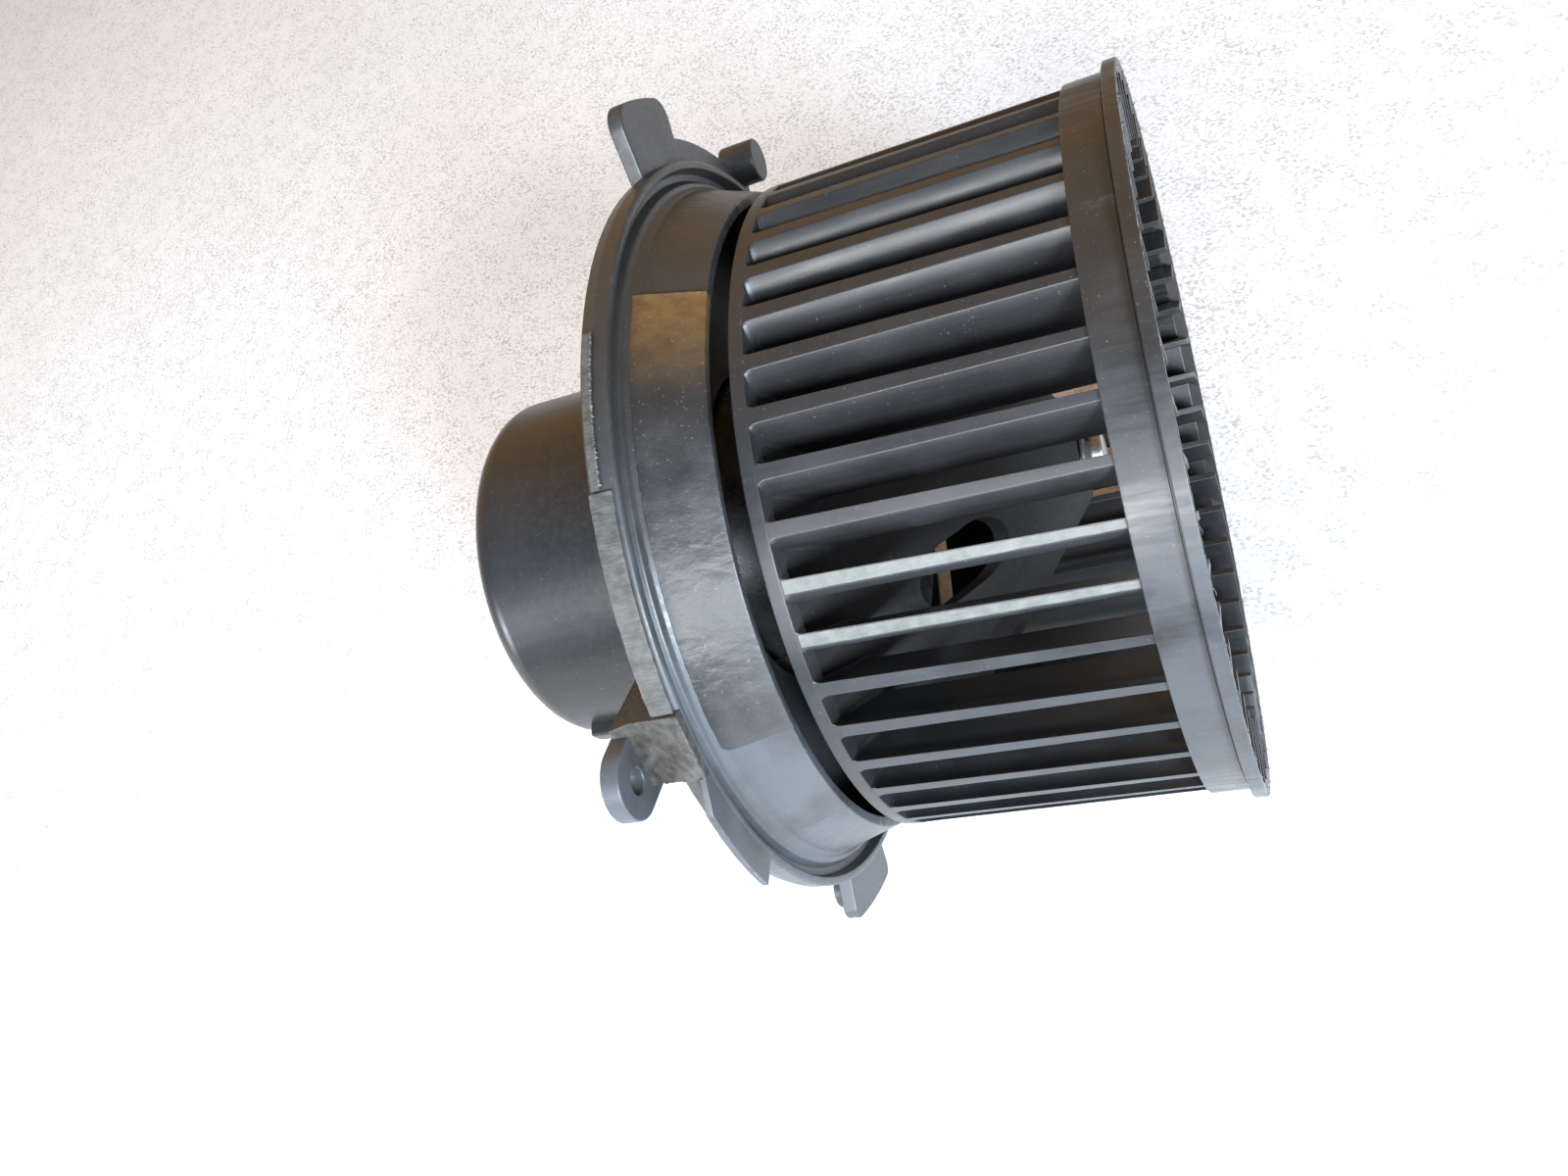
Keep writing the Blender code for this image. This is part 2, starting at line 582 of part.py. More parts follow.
def build_motor_shell():
    """The steel can, its front end plate, bearings, bolts, magnets and rubber rings."""
    steel = ((0.52, 0.52, 0.5), 0.35, 1.0)
    wall = CAN_RADIUS - CAN_BORE
    seat_front = CAN_BACK + 7.0 * MM
    can = bmesh.new()
    add_turned(
        can,
        [
            (CAN_BACK + 1.8 * MM, 0.0),
            (CAN_BACK + 1.8 * MM, SEAT_RADIUS),
            (seat_front, SEAT_RADIUS),
            (seat_front, SEAT_RADIUS + 1.6 * MM),
            (CAN_BACK + wall, SEAT_RADIUS + 3.0 * MM),
            (CAN_BACK + wall, CAN_BORE - 2.0 * MM),
            (CAN_BACK + wall + 2.0 * MM, CAN_BORE),
            (CAN_FRONT, CAN_BORE),
            (CAN_FRONT, CAN_RADIUS),
            (CAN_BACK + 3.0 * MM, CAN_RADIUS),
            (CAN_BACK + 0.9 * MM, CAN_RADIUS - 0.9 * MM),
            (CAN_BACK, CAN_RADIUS - 3.0 * MM),
            (CAN_BACK, 0.0),
        ],
        36,
    )
    add_object("motor_can", can, steel)

    plate_back = CAN_FRONT + FIT_GAP
    plate = bmesh.new()
    add_ring(
        plate,
        [
            (plate_back, 15.0 * MM),
            (plate_back, CAN_RADIUS),
            (plate_back + 2.0 * MM, CAN_RADIUS),
            (plate_back + 3.6 * MM, CAN_RADIUS - 2.4 * MM),
            (plate_back + 4.6 * MM, 16.0 * MM),
            (plate_back + 12.0 * MM, 11.0 * MM),
            (plate_back + 14.0 * MM, 9.5 * MM),
            (plate_back + 14.0 * MM, BEARING_BORE + 0.4 * MM),
            (plate_back + 12.4 * MM, BEARING_BORE + 0.4 * MM),
            (plate_back + 12.4 * MM, SEAT_RADIUS),
            (plate_back + 3.0 * MM, SEAT_RADIUS),
            (plate_back + 2.0 * MM, 8.5 * MM),
        ],
        36,
    )
    end_plate = add_object("front_end_plate", plate, steel)
    bolt_holes = bmesh.new()
    bolt_angles = (math.radians(90.0), math.radians(270.0))
    for angle in bolt_angles:
        add_post(bolt_holes, BOLT_RADIUS + FIT_GAP, BOLT_CIRCLE, angle, CAN_FRONT, CAN_FRONT + 9 * MM)
    hole_tool = add_object("bolt_hole_tool", bolt_holes, None)
    boolean(end_plate, hole_tool, "DIFFERENCE")
    for i, angle in enumerate(bolt_angles):
        bolt = bmesh.new()
        head = plate_back + 5.0 * MM
        add_turned(
            bolt,
            [
                (CAN_BACK + 4.0 * MM, 0.0),
                (CAN_BACK + 4.0 * MM, BOLT_RADIUS - 0.4 * MM),
                (CAN_BACK + 4.4 * MM, BOLT_RADIUS),
                (head, BOLT_RADIUS),
                (head, 3.3 * MM),
                (head + 2.4 * MM, 3.3 * MM),
                (head + 2.4 * MM, 0.0),
            ],
            12,
        )
        bmesh.ops.translate(bolt, verts=bolt.verts, vec=at(BOLT_CIRCLE, angle, 0.0))
        add_object(f"through_bolt_{i + 1}", bolt, ((0.6, 0.58, 0.5), 0.3, 1.0))

    for i, middle in enumerate((0.0, math.pi)):
        magnet = bmesh.new()
        half_arc = math.radians(56.0)
        outline = [
            (-30.0 * MM, CORE_RADIUS + 1.0 * MM),
            (-30.0 * MM, CAN_BORE - FIT_GAP),
            (16.0 * MM, CAN_BORE - FIT_GAP),
            (16.0 * MM, CORE_RADIUS + 1.0 * MM),
        ]
        add_ring(magnet, outline, 16, middle - half_arc, 2.0 * half_arc)
        add_object(f"magnet_{i + 1}", magnet, ((0.06, 0.06, 0.065), 0.6, 0.0))

    bronze = ((0.55, 0.36, 0.16), 0.4, 1.0)
    bearings = (
        ("rear_bearing", CAN_BACK + 2.1 * MM, seat_front - 0.9 * MM),
        ("front_bearing", plate_back + 5.0 * MM, plate_back + 12.0 * MM),
    )
    for name, back, front in bearings:
        bush = bmesh.new()
        edge = 0.6 * MM
        add_ring(
            bush,
            [
                (back, BEARING_BORE),
                (back, BEARING_RADIUS - edge),
                (back + edge, BEARING_RADIUS),
                (front - edge, BEARING_RADIUS),
                (front, BEARING_RADIUS - edge),
                (front, BEARING_BORE),
            ],
            20,
        )
        add_object(name, bush, bronze)

    rubber = ((0.02, 0.02, 0.02), 0.85, 0.0)
    cover_bore = COVER_RADIUS - 2.4 * MM
    for name, back, front in (
        ("rear_isolator", -46.0 * MM, -38.0 * MM),
        ("front_isolator", -14.0 * MM, -6.0 * MM),
    ):
        ring = bmesh.new()
        middle = 0.5 * (back + front)
        add_ring(
            ring,
            [
                (back, CAN_RADIUS + FIT_GAP),
                (back, cover_bore - 0.9 * MM),
                (middle, cover_bore - FIT_GAP),
                (front, cover_bore - 0.9 * MM),
                (front, CAN_RADIUS + FIT_GAP),
            ],
            36,
        )
        add_object(name, ring, rubber)


def build_brush_gear():
    """The card, and on each side a brush in its tube with a spring and an end cap."""
    card = bmesh.new()
    card_back = -46.4 * MM
    card_front = -43.0 * MM
    add_ring(
        card,
        [
            (card_back, 14.0 * MM),
            (card_back, CAN_BORE - FIT_GAP),
            (card_front, CAN_BORE - FIT_GAP),
            (card_front, 14.0 * MM),
        ],
        40,
    )
    card_object = add_object("brush_card", card, ((0.32, 0.2, 0.1), 0.6, 0.0))
    card_holes = bmesh.new()
    for angle in (math.radians(90.0), math.radians(270.0)):
        add_post(card_holes, BOLT_RADIUS + FIT_GAP, BOLT_CIRCLE, angle, card_back - MM, card_front + MM)
    card_tool = add_object("card_hole_tool", card_holes, None)
    boolean(card_object, card_tool, "DIFFERENCE")

    for i, angle in enumerate((math.radians(0.0), math.radians(180.0))):
        brush = bmesh.new()
        add_block(
            brush,
            (BRUSH_INNER, BRUSH_OUTER),
            (-BRUSH_HALF_WIDTH, BRUSH_HALF_WIDTH),
            angle,
            (BRUSH_Y - BRUSH_HALF_HEIGHT, BRUSH_Y + BRUSH_HALF_HEIGHT),
        )
        slide_line = (0.0, BRUSH_Y, 0.0)
        brush_object = add_object(f"brush_{i + 1}", brush, ((0.035, 0.03, 0.03), 0.55, 0.2))
        set_origin(brush_object, slide_line)

        bore_across = BRUSH_HALF_WIDTH + FIT_GAP
        bore_high = BRUSH_HALF_HEIGHT + FIT_GAP
        tube = bmesh.new()
        add_block(
            tube,
            (TUBE_INNER, TUBE_OUTER),
            (-bore_across - TUBE_WALL, bore_across + TUBE_WALL),
            angle,
            (BRUSH_Y - bore_high - TUBE_WALL, BRUSH_Y + bore_high + TUBE_WALL),
        )
        tube_object = add_object(f"brush_tube_{i + 1}", tube, ((0.6, 0.45, 0.2), 0.35, 1.0))
        bore = bmesh.new()
        add_block(
            bore,
            (TUBE_INNER - MM, TUBE_OUTER - TUBE_WALL),
            (-bore_across, bore_across),
            angle,
            (BRUSH_Y - bore_high, BRUSH_Y + bore_high),
        )
        bore_tool = add_object(f"bore_tool_{i + 1}", bore, None)
        boolean(tube_object, bore_tool, "DIFFERENCE")

        add_spring(
            f"brush_spring_{i + 1}",
            angle,
            BRUSH_OUTER + 2.0 * FIT_GAP,
            TUBE_OUTER - TUBE_WALL - 2.0 * FIT_GAP,
        )


def add_spring(name, angle, inner, outer):
    """A coil of round wire along the radius at this angle."""
    wire = 0.3 * MM
    coil = 1.9 * MM
    turns = 4
    steps_per_turn = 9
    sides = 4
    shape = bmesh.new()
    rings = []
    count = turns * steps_per_turn
    length = outer - inner - 2.0 * wire
    for step in range(count + 1):
        turn = FULL_TURN * step / steps_per_turn
        middle = inner + wire + length * step / count
        ring = []
        for side in range(sides):
            slant = FULL_TURN * side / sides
            reach = coil + wire * math.cos(slant)
            radial = middle + wire * math.sin(slant)
            y = BRUSH_Y + reach * math.sin(turn)
            ring.append(shape.verts.new(local(radial, reach * math.cos(turn), angle, y)))
        rings.append(ring)
    for here, there in zip(rings, rings[1:]):
        for i in range(sides):
            j = (i + 1) % sides
            shape.faces.new((here[i], here[j], there[j], there[i]))
    shape.faces.new(rings[0])
    shape.faces.new(rings[-1])
    add_object(name, shape, ((0.6, 0.6, 0.58), 0.25, 1.0))


def build_rotor():
    """The shaft, armature, commutator, washers, hub insert and shaft clip."""
    steel = ((0.62, 0.62, 0.6), 0.22, 1.0)
    shaft_back = CAN_BACK + 2.2 * MM
    shaft_front = 74.0 * MM
    edge = 0.6 * MM
    shaft = bmesh.new()
    add_turned(
        shaft,
        [
            (shaft_back, 0.0),
            (shaft_back, SHAFT_RADIUS - edge),
            (shaft_back + edge, SHAFT_RADIUS),
            (shaft_front - edge, SHAFT_RADIUS),
            (shaft_front, SHAFT_RADIUS - edge),
            (shaft_front, 0.0),
        ],
        28,
    )
    add_object("shaft", shaft, steel)

    on_shaft = SHAFT_RADIUS + FIT_GAP
    core_back = -26.0 * MM
    core_front = 12.0 * MM
    core = bmesh.new()
    outline = []
    slot_depth = 10.0 * MM
    for tooth in range(CORE_SLOTS):
        middle = FULL_TURN * tooth / CORE_SLOTS
        pitch = FULL_TURN / CORE_SLOTS
        tooth_points = (
            (CORE_RADIUS - slot_depth, -0.36),
            (CORE_RADIUS - 2.4 * MM, -0.2),
            (CORE_RADIUS - 1.4 * MM, -0.44),
            (CORE_RADIUS, -0.44),
            (CORE_RADIUS, 0.0),
            (CORE_RADIUS, 0.44),
            (CORE_RADIUS - 1.4 * MM, 0.44),
            (CORE_RADIUS - 2.4 * MM, 0.2),
            (CORE_RADIUS - slot_depth, 0.36),
        )
        for radius, share in tooth_points:
            outline.append((radius, middle + pitch * share))
    low = [at(radius, angle, core_back) for radius, angle in outline]
    high = [at(radius, angle, core_front) for radius, angle in outline]
    add_prism(core, low, high)
    core_object = add_object("armature_core", core, ((0.3, 0.3, 0.32), 0.45, 1.0))
    bore = bmesh.new()
    add_post(bore, on_shaft, 0.0, 0.0, core_back - MM, core_front + MM, 28)
    bore_tool = add_object("core_bore_tool", bore, None)
    boolean(core_object, bore_tool, "DIFFERENCE")

    copper = ((0.6, 0.22, 0.08), 0.35, 1.0)
    for name, near, far in (
        ("winding_front", core_front + FIT_GAP, core_front + 7.0 * MM),
        ("winding_rear", core_back - FIT_GAP, core_back - 6.0 * MM),
    ):
        coil = bmesh.new()
        bulge = 0.7 * near + 0.3 * far
        add_ring(
            coil,
            [
                (near, on_shaft + 1.0 * MM),
                (near, CORE_RADIUS - 3.0 * MM),
                (bulge, CORE_RADIUS - 1.5 * MM),
                (0.3 * near + 0.7 * far, CORE_RADIUS - 2.6 * MM),
                (far, CORE_RADIUS - 7.0 * MM),
                (far, on_shaft + 1.0 * MM),
            ],
            24,
        )
        add_object(name, coil, copper)

    bars = 20
    comm = bmesh.new()
    comm_outline = []
    for bar in range(bars):
        for share, depth in ((0.04, 0.8 * MM), (0.06, 0.0), (0.9, 0.0), (0.92, 0.8 * MM)):
            turn = FULL_TURN * (bar + share) / bars
            comm_outline.append((COMMUTATOR_RADIUS - depth, turn))
    comm_back = -45.0 * MM
    comm_front = -33.0 * MM
    low = [at(radius, angle, comm_back) for radius, angle in comm_outline]
    high = [at(radius, angle, comm_front) for radius, angle in comm_outline]
    add_prism(comm, low, high)
    comm_object = add_object("commutator", comm, copper)
    comm_bore = bmesh.new()
    add_post(comm_bore, on_shaft, 0.0, 0.0, comm_back - MM, comm_front + MM, 28)
    comm_tool = add_object("comm_bore_tool", comm_bore, None)
    boolean(comm_object, comm_tool, "DIFFERENCE")

    collars = (
        ("rear_washer", comm_back - 1.6 * MM, comm_back - FIT_GAP, 7.5 * MM, ((0.75, 0.72, 0.62), 0.6, 0.0)),
        ("front_washer", 20.0 * MM, 21.2 * MM, 7.5 * MM, ((0.75, 0.72, 0.62), 0.6, 0.0)),
        ("hub_insert", BOSS_BACK + MM, BOSS_FRONT - MM, BEARING_RADIUS, ((0.6, 0.44, 0.18), 0.3, 1.0)),
        ("shaft_clip", BOSS_FRONT + FIT_GAP, BOSS_FRONT + 2.2 * MM, 7.4 * MM, steel),
    )
    for name, back, front, radius, look in collars:
        collar = bmesh.new()
        add_ring(
            collar,
            [
                (back, on_shaft),
                (back, radius),
                (front - 0.3 * MM, radius),
                (front, radius - 0.3 * MM),
                (front, on_shaft),
            ],
            20,
        )
        add_object(name, collar, look)


def build_socket():
    """The two-pin plug socket on the back of the flange; the plug and its wires belong to the car."""
    front = PLATE_BACK - FIT_GAP
    half_across = 9.0 * MM
    half_radial = 7.0 * MM
    wall = 1.5 * MM
    shell = bmesh.new()
    add_block(
        shell,
        (SOCKET_RADIUS - half_radial, SOCKET_RADIUS + half_radial),
        (-half_across, half_across),
        SOCKET_ANGLE,
        (SOCKET_BACK, front),
    )
    shell_object = add_object("connector_shell", shell, ((0.02, 0.02, 0.02), 0.5, 0.0))
    hollow = bmesh.new()
    floor = front - 3.0 * MM
    add_block(
        hollow,
        (SOCKET_RADIUS - half_radial + wall, SOCKET_RADIUS + half_radial - wall),
        (wall - half_across, half_across - wall),
        SOCKET_ANGLE,
        (SOCKET_BACK - MM, floor),
    )
    hollow_tool = add_object("socket_tool", hollow, None)
    boolean(shell_object, hollow_tool, "DIFFERENCE")
    for i, across in enumerate((-3.6 * MM, 3.6 * MM)):
        blade = bmesh.new()
        add_block(
            blade,
            (SOCKET_RADIUS - 0.4 * MM, SOCKET_RADIUS + 0.4 * MM),
            (across - 1.6 * MM, across + 1.6 * MM),
            SOCKET_ANGLE,
            (SOCKET_BACK + 2.5 * MM, floor - FIT_GAP),
        )
        add_object(f"terminal_{i + 1}", blade, ((0.7, 0.7, 0.68), 0.25, 1.0))


clear_scene()
build_wheel()
build_flange()
build_cover()
build_motor_shell()
build_brush_gear()
build_rotor()
build_socket()
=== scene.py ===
"""The look of a car heater blower: moulded wheel, flange and motor cover round a steel motor.

The frame's spin axis is +Y and points at the inlet, and +Z is up. Angles round the axis start at +Z and grow
towards +X. The pieces are built in millimetres, and finish_piece scales each one to metres. The floor, the
lamps and the camera are placed in metres.
"""

import math

import bmesh
import bpy
from mathutils import Matrix, Vector, noise


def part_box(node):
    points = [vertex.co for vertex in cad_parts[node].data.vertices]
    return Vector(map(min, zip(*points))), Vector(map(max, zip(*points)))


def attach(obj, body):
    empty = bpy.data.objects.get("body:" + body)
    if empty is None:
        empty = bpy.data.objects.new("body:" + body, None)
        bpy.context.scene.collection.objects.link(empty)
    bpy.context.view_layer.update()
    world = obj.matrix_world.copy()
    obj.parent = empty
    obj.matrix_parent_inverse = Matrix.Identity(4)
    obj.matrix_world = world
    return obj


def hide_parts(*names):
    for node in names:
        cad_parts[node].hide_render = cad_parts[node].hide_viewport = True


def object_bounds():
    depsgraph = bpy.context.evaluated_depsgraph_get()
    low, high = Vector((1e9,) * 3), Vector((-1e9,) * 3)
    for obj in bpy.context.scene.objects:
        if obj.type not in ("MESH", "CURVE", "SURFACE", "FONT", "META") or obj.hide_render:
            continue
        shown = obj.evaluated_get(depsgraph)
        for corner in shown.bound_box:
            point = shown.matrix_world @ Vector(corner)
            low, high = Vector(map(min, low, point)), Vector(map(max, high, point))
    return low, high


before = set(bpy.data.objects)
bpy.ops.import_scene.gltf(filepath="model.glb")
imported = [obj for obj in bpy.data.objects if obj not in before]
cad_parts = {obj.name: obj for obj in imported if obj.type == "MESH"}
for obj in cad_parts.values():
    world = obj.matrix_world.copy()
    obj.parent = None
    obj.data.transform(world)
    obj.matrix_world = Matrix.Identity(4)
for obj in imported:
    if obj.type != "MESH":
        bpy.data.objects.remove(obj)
cad_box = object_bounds()

MM = 0.001
DEGREE = math.pi / 180.0
FULL_TURN = math.tau
QUARTER_TURN = math.pi / 2.0


def box(node):
    """The lowest and highest corner of a CAD node."""
    return [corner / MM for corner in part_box(node)]


wheel_low, wheel_high = box("blower_wheel")
cover_low, cover_high = box("motor_cover")
can_low, can_high = box("motor_can")
plate_low, plate_high = box("front_end_plate")
clip_low, clip_high = box("shaft_clip")
shaft_low, shaft_high = box("shaft")

# The wheel.
LIP_RADIUS = wheel_high.x
WHEEL_FRONT = wheel_high.y
WHEEL_BACK = wheel_low.y
RING_RADIUS = LIP_RADIUS - 2.4
BAND_RADIUS = LIP_RADIUS - 1.8
BAND_BORE = LIP_RADIUS - 4.4
LIP_BACK = WHEEL_FRONT - 2.5
BAND_BACK = WHEEL_FRONT - 10.2
RING_FRONT = WHEEL_BACK + 2.9
BLADE_COUNT = 44
FIRST_BLADE = -6.55 * DEGREE
# The two blades whose outer faces carry a painted highlight.
GLARE_BLADES = (6, 7)
BLADE_DEPTH = 12.4
BLADE_CREST = 4.9
BLADE_BOW = 2.2
BLADE_LEAN = 0.215
BOSS_RADIUS = 9.0
BOSS_FRONT = WHEEL_FRONT - 23.0
BOSS_BACK = WHEEL_FRONT - 40.5
BOSS_BORE = 6.8
CONE_SLOPE = 1.267
CONE_WALL = 3.2
WINDOW_COUNT = 6
WINDOW_ANGLE = 57.0 * DEGREE
WINDOW_HALF_WIDTH = 6.5
WINDOW_INNER_END = 33.5
WINDOW_OUTER_END = 39.5

# The flange.
PLATE_BACK = -3.2
PLATE_FRONT = -0.7
LUG_FRONT = 0.2
PLATE_BORE = 36.0
RIM_RADIUS = 82.3
RIM_FRONT = 3.1
GROOVE_FLOOR = 0.5
BEAD_FRONT = 2.5
BEAD_RADIUS = 77.8
COLLAR_FRONT = 16.5
COLLAR_RADIUS = 71.6
COLLAR_BASE = 76.2
COLLAR_WALL = 2.2
LUG_ROOT = RIM_RADIUS - 2.2
EAR_ANGLE = 61.3 * DEGREE
EAR_CENTRE = 83.6
EAR_RADIUS = 7.4
BRACKET_ANGLE = 58.6 * DEGREE
BRACKET_ROOT = 57.0
BRACKET_TOP = 80.0
BRACKET_BEND = -9.5
BRACKET_BACK = -14.6
BRACKET_HALF_WIDTH = 7.4
BRACKET_SKEW = -0.235
WING_THICKNESS = 1.5
WING_START = 62.0 * DEGREE
WING_BEND = 65.6 * DEGREE
WING_END = 82.0 * DEGREE
WING_RADIUS = 88.2
WING_FOOT = 84.4
BOSS_ANGLE = -73.5 * DEGREE
EAR_THICKNESS = 3.9
EAR_HOLE_RADIUS = 2.4
SCREW_ANGLES = [angle * DEGREE for angle in (20.0, 140.0, 260.0)]
SCREW_CIRCLE = 50.0
SCREW_HOLE = 1.95
PATCH_START = -5.5 * DEGREE
PATCH_SWEEP = 69.0 * DEGREE
PAD_START = 3.5
PAD_TOP = RIM_RADIUS + 1.1

# The cover and the motor.
COVER_RADIUS = 41.4
COVER_END = cover_low.y
COVER_FRONT = cover_high.y
COVER_CORNER = 6.3
RIB_ANGLE = 98.0 * DEGREE
CAN_RADIUS = can_high.x
BEARING_SEAT = 6.8
BOLT_CIRCLE = 28.5
BOLT_ANGLES = (QUARTER_TURN, 3.0 * QUARTER_TURN)
SHAFT_RADIUS = shaft_high.x

# The body, slot and CAD node of the pieces of each moulding.
ON_WHEEL = ("rotor", "wheel_plastic", ["blower_wheel"])
ON_FLANGE = ("housing", "flange_plastic", ["mounting_flange"])
ON_COVER = ("housing", "cover_plastic", ["motor_cover"])

# The camera.
CAMERA_PLACE = (0.144562, 0.102360, 0.228878)
CAMERA_BACK = (0.460307, 0.390474, 0.797275)
CAMERA_UP = (-0.887603, 0.185532, 0.421592)
CAMERA_LENS = 28.535
CAMERA_SHIFT = (0.02587, -0.00709)

# Geometry helpers.


def at(radius, angle, y):
    """The point at this radius and angle from the spin axis."""
    return (radius * math.sin(angle), y, radius * math.cos(angle))


def local(radial, across, angle, y):
    """A point given along and across the radius at this angle."""
    return (
        radial * math.sin(angle) + across * math.cos(angle),
        y,
        radial * math.cos(angle) - across * math.sin(angle),
    )


def flat(radial, across, angle):
    """The same point seen along the spin axis, as (x, z)."""
    x, _, z = local(radial, across, angle, 0.0)
    return x, z


def onward(length, angle):
    """A short way round the spin axis from this angle."""
    return Vector(at(length, angle + QUARTER_TURN, 0.0))


def ripple(point, size, seed=0.0):
    """Smooth noise from -1 to 1 whose lumps are about this size."""
    return noise.noise(Vector(point) / size + Vector((seed, 0.37 * seed, 1.7 * seed)))


def uneven(point, least, middle, spread=1.2):
    """A splinter's size, which varies from point to point and is never under the least."""
    return max(least, middle + spread * ripple(point, 1.0))


def rounded(outline, radius, steps=3):
    """A closed 2-D outline with each corner replaced by a short curve."""
    points = []
    count = len(outline)
    for i in range(count):
        corner = Vector(outline[i])
        before = Vector(outline[i - 1]) - corner
        after = Vector(outline[(i + 1) % count]) - corner
        reach = min(radius, 0.45 * before.length, 0.45 * after.length)
        if reach < 1e-4 or before.angle(after) > 172.0 * DEGREE:
            points.append(tuple(corner))
            continue
        start = corner + before.normalized() * reach
        end = corner + after.normalized() * reach
        for step in range(steps + 1):
            share = step / steps
            point = start * (1.0 - share) ** 2 + corner * 2.0 * share * (1.0 - share) + end * share**2
            points.append(tuple(point))
    return points


def inset(outline, distance):
    """The closed 2-D outline moved inwards by this distance."""
    count = len(outline)
    area = sum(outline[i - 1][0] * outline[i][1] - outline[i][0] * outline[i - 1][1] for i in range(count))
    side = 1.0 if area > 0.0 else -1.0
    moved = []
    for i in range(count):
        here = Vector(outline[i])
        before = (here - Vector(outline[i - 1])).normalized()
        after = (Vector(outline[(i + 1) % count]) - here).normalized()
        normal = Vector((-before.y - after.y, before.x + after.x)) * side
        if normal.length < 1e-9:
            normal = Vector((-before.y, before.x)) * side
        normal.normalize()
        lean = max(0.35, abs(normal.dot(Vector((-before.y, before.x)) * side)))
        moved.append(tuple(here + normal * distance / lean))
    return moved


def join(shape, here, there, closed=True):
    """Faces between two loops with the same number of points."""
    count = len(here)
    for i in range(count if closed else count - 1):
        j = (i + 1) % count
        shape.faces.new((here[i], here[j], there[j], there[i]))


def add_ring(shape, profile, segments, start=0.0, sweep=FULL_TURN, move=None):
    """Turns a closed outline of (y, radius) points about the Y axis. move may shift each point."""
    whole = sweep >= FULL_TURN
    steps = segments if whole else segments + 1
    loops = []
    for step in range(steps):
        angle = start + sweep * step / segments
        loop = []
        for y, radius in profile:
            if move:
                y, radius = move(y, radius, angle)
            loop.append(shape.verts.new(at(radius, angle, y)))
        loops.append(loop)
    for step in range(segments):
        join(shape, loops[step], loops[(step + 1) % steps])
    if not whole:
        shape.faces.new(loops[0])
        shape.faces.new(loops[-1])


def add_turned(shape, profile, segments, centre=(0.0, 0.0, 0.0)):
    """Turns an open outline of (y, radius) about a line along Y; its two ends are on that line."""
    middle = Vector(centre)
    first = shape.verts.new(middle + Vector((0.0, profile[0][0], 0.0)))
    last = shape.verts.new(middle + Vector((0.0, profile[-1][0], 0.0)))
    loops = []
    for step in range(segments):
        angle = FULL_TURN * step / segments
        loops.append([shape.verts.new(middle + Vector(at(r, angle, y))) for y, r in profile[1:-1]])
    for step in range(segments):
        here = loops[step]
        there = loops[(step + 1) % segments]
        shape.faces.new((first, here[0], there[0]))
        shape.faces.new((last, there[-1], here[-1]))
        join(shape, here, there, closed=False)


def add_layers(shape, layers):
    """Joins outlines with the same number of points into one closed body."""
    loops = [[shape.verts.new(point) for point in layer] for layer in layers]
    for here, there in zip(loops, loops[1:]):
        join(shape, here, there)
    shape.faces.new(loops[0])
    shape.faces.new(loops[-1])


def add_prism(shape, outline, back, front):
    """Extrudes an outline of (x, z) points along Y, with sharp edges."""
    add_layers(shape, [[(x, y, z) for x, z in outline] for y in (back, front)])


def add_slab(shape, outline, back, front, edge, steps=3):
    """Extrudes an outline of (x, z) points along Y, with rounded edges back and front."""
    bends = []
    for step in range(steps + 1):
        turn = QUARTER_TURN * step / steps
        bends.append((edge * (1.0 - math.sin(turn)), edge * (1.0 - math.cos(turn))))
    levels = [(back + rise, depth) for rise, depth in reversed(bends)]
    levels += [(front - rise, depth) for rise, depth in bends]
    add_layers(shape, [[(x, y, z) for x, z in inset(outline, depth)] for y, depth in levels])


def circle_outline(radius, centre_radius, angle, sides=48):
    turns = [FULL_TURN * step / sides for step in range(sides)]
    return [flat(centre_radius + radius * math.cos(turn), radius * math.sin(turn), angle) for turn in turns]


def box_outline(radial, across, angle):
    """A rectangle in the (x, z) plane. Its sides are (low, high) along the radius and across it."""
    corners = ((0, 0), (1, 0), (1, 1), (0, 1))
    return [flat(radial[i], across[j], angle) for i, j in corners]


def arc_outline(radius, start, end, steps=8):
    """Points on a circle about the spin axis, from one angle to the other."""
    return [flat(radius, 0.0, start + (end - start) * step / steps) for step in range(steps + 1)]


def sector_outline(inner, outer, start, end, corner):
    """A piece of ring in the (x, z) plane with its two outer corners rounded."""
    turn = corner / outer
    steps = 8
    bends = []
    for edge, side in ((start, 1.0), (end, -1.0)):
        bend = []
        for step in range(steps + 1):
            slant = QUARTER_TURN * step / steps
            radius = outer - corner * (1.0 - math.sin(slant))
            bend.append(flat(radius, 0.0, edge + side * turn * (1.0 - math.cos(slant))))
        bends.append(bend)
    front = arc_outline(outer, start + turn, end - turn)[1:-1]
    return arc_outline(inner, end, start) + bends[0] + front + bends[1][::-1]


def ear_outline(base, half_width, centre_radius, radius, angle):
    """A tongue in the (x, z) plane: a straight base, and a round end."""
    points = [flat(base, -half_width, angle), flat(base, half_width, angle)]
    steps = 28
    for step in range(steps + 1):
        turn = QUARTER_TURN - math.pi * step / steps
        points.append(flat(centre_radius + radius * math.cos(turn), radius * math.sin(turn), angle))
    return points


def cup_corner(end, side, corner, reach, steps):
    """The round corner of a cup from its side to its end, as (y, radius), on a curve of this reach."""
    turns = [QUARTER_TURN * step / steps for step in range(steps + 1)]
    return [(end + corner - reach * math.sin(turn), side - corner + reach * math.cos(turn)) for turn in turns]


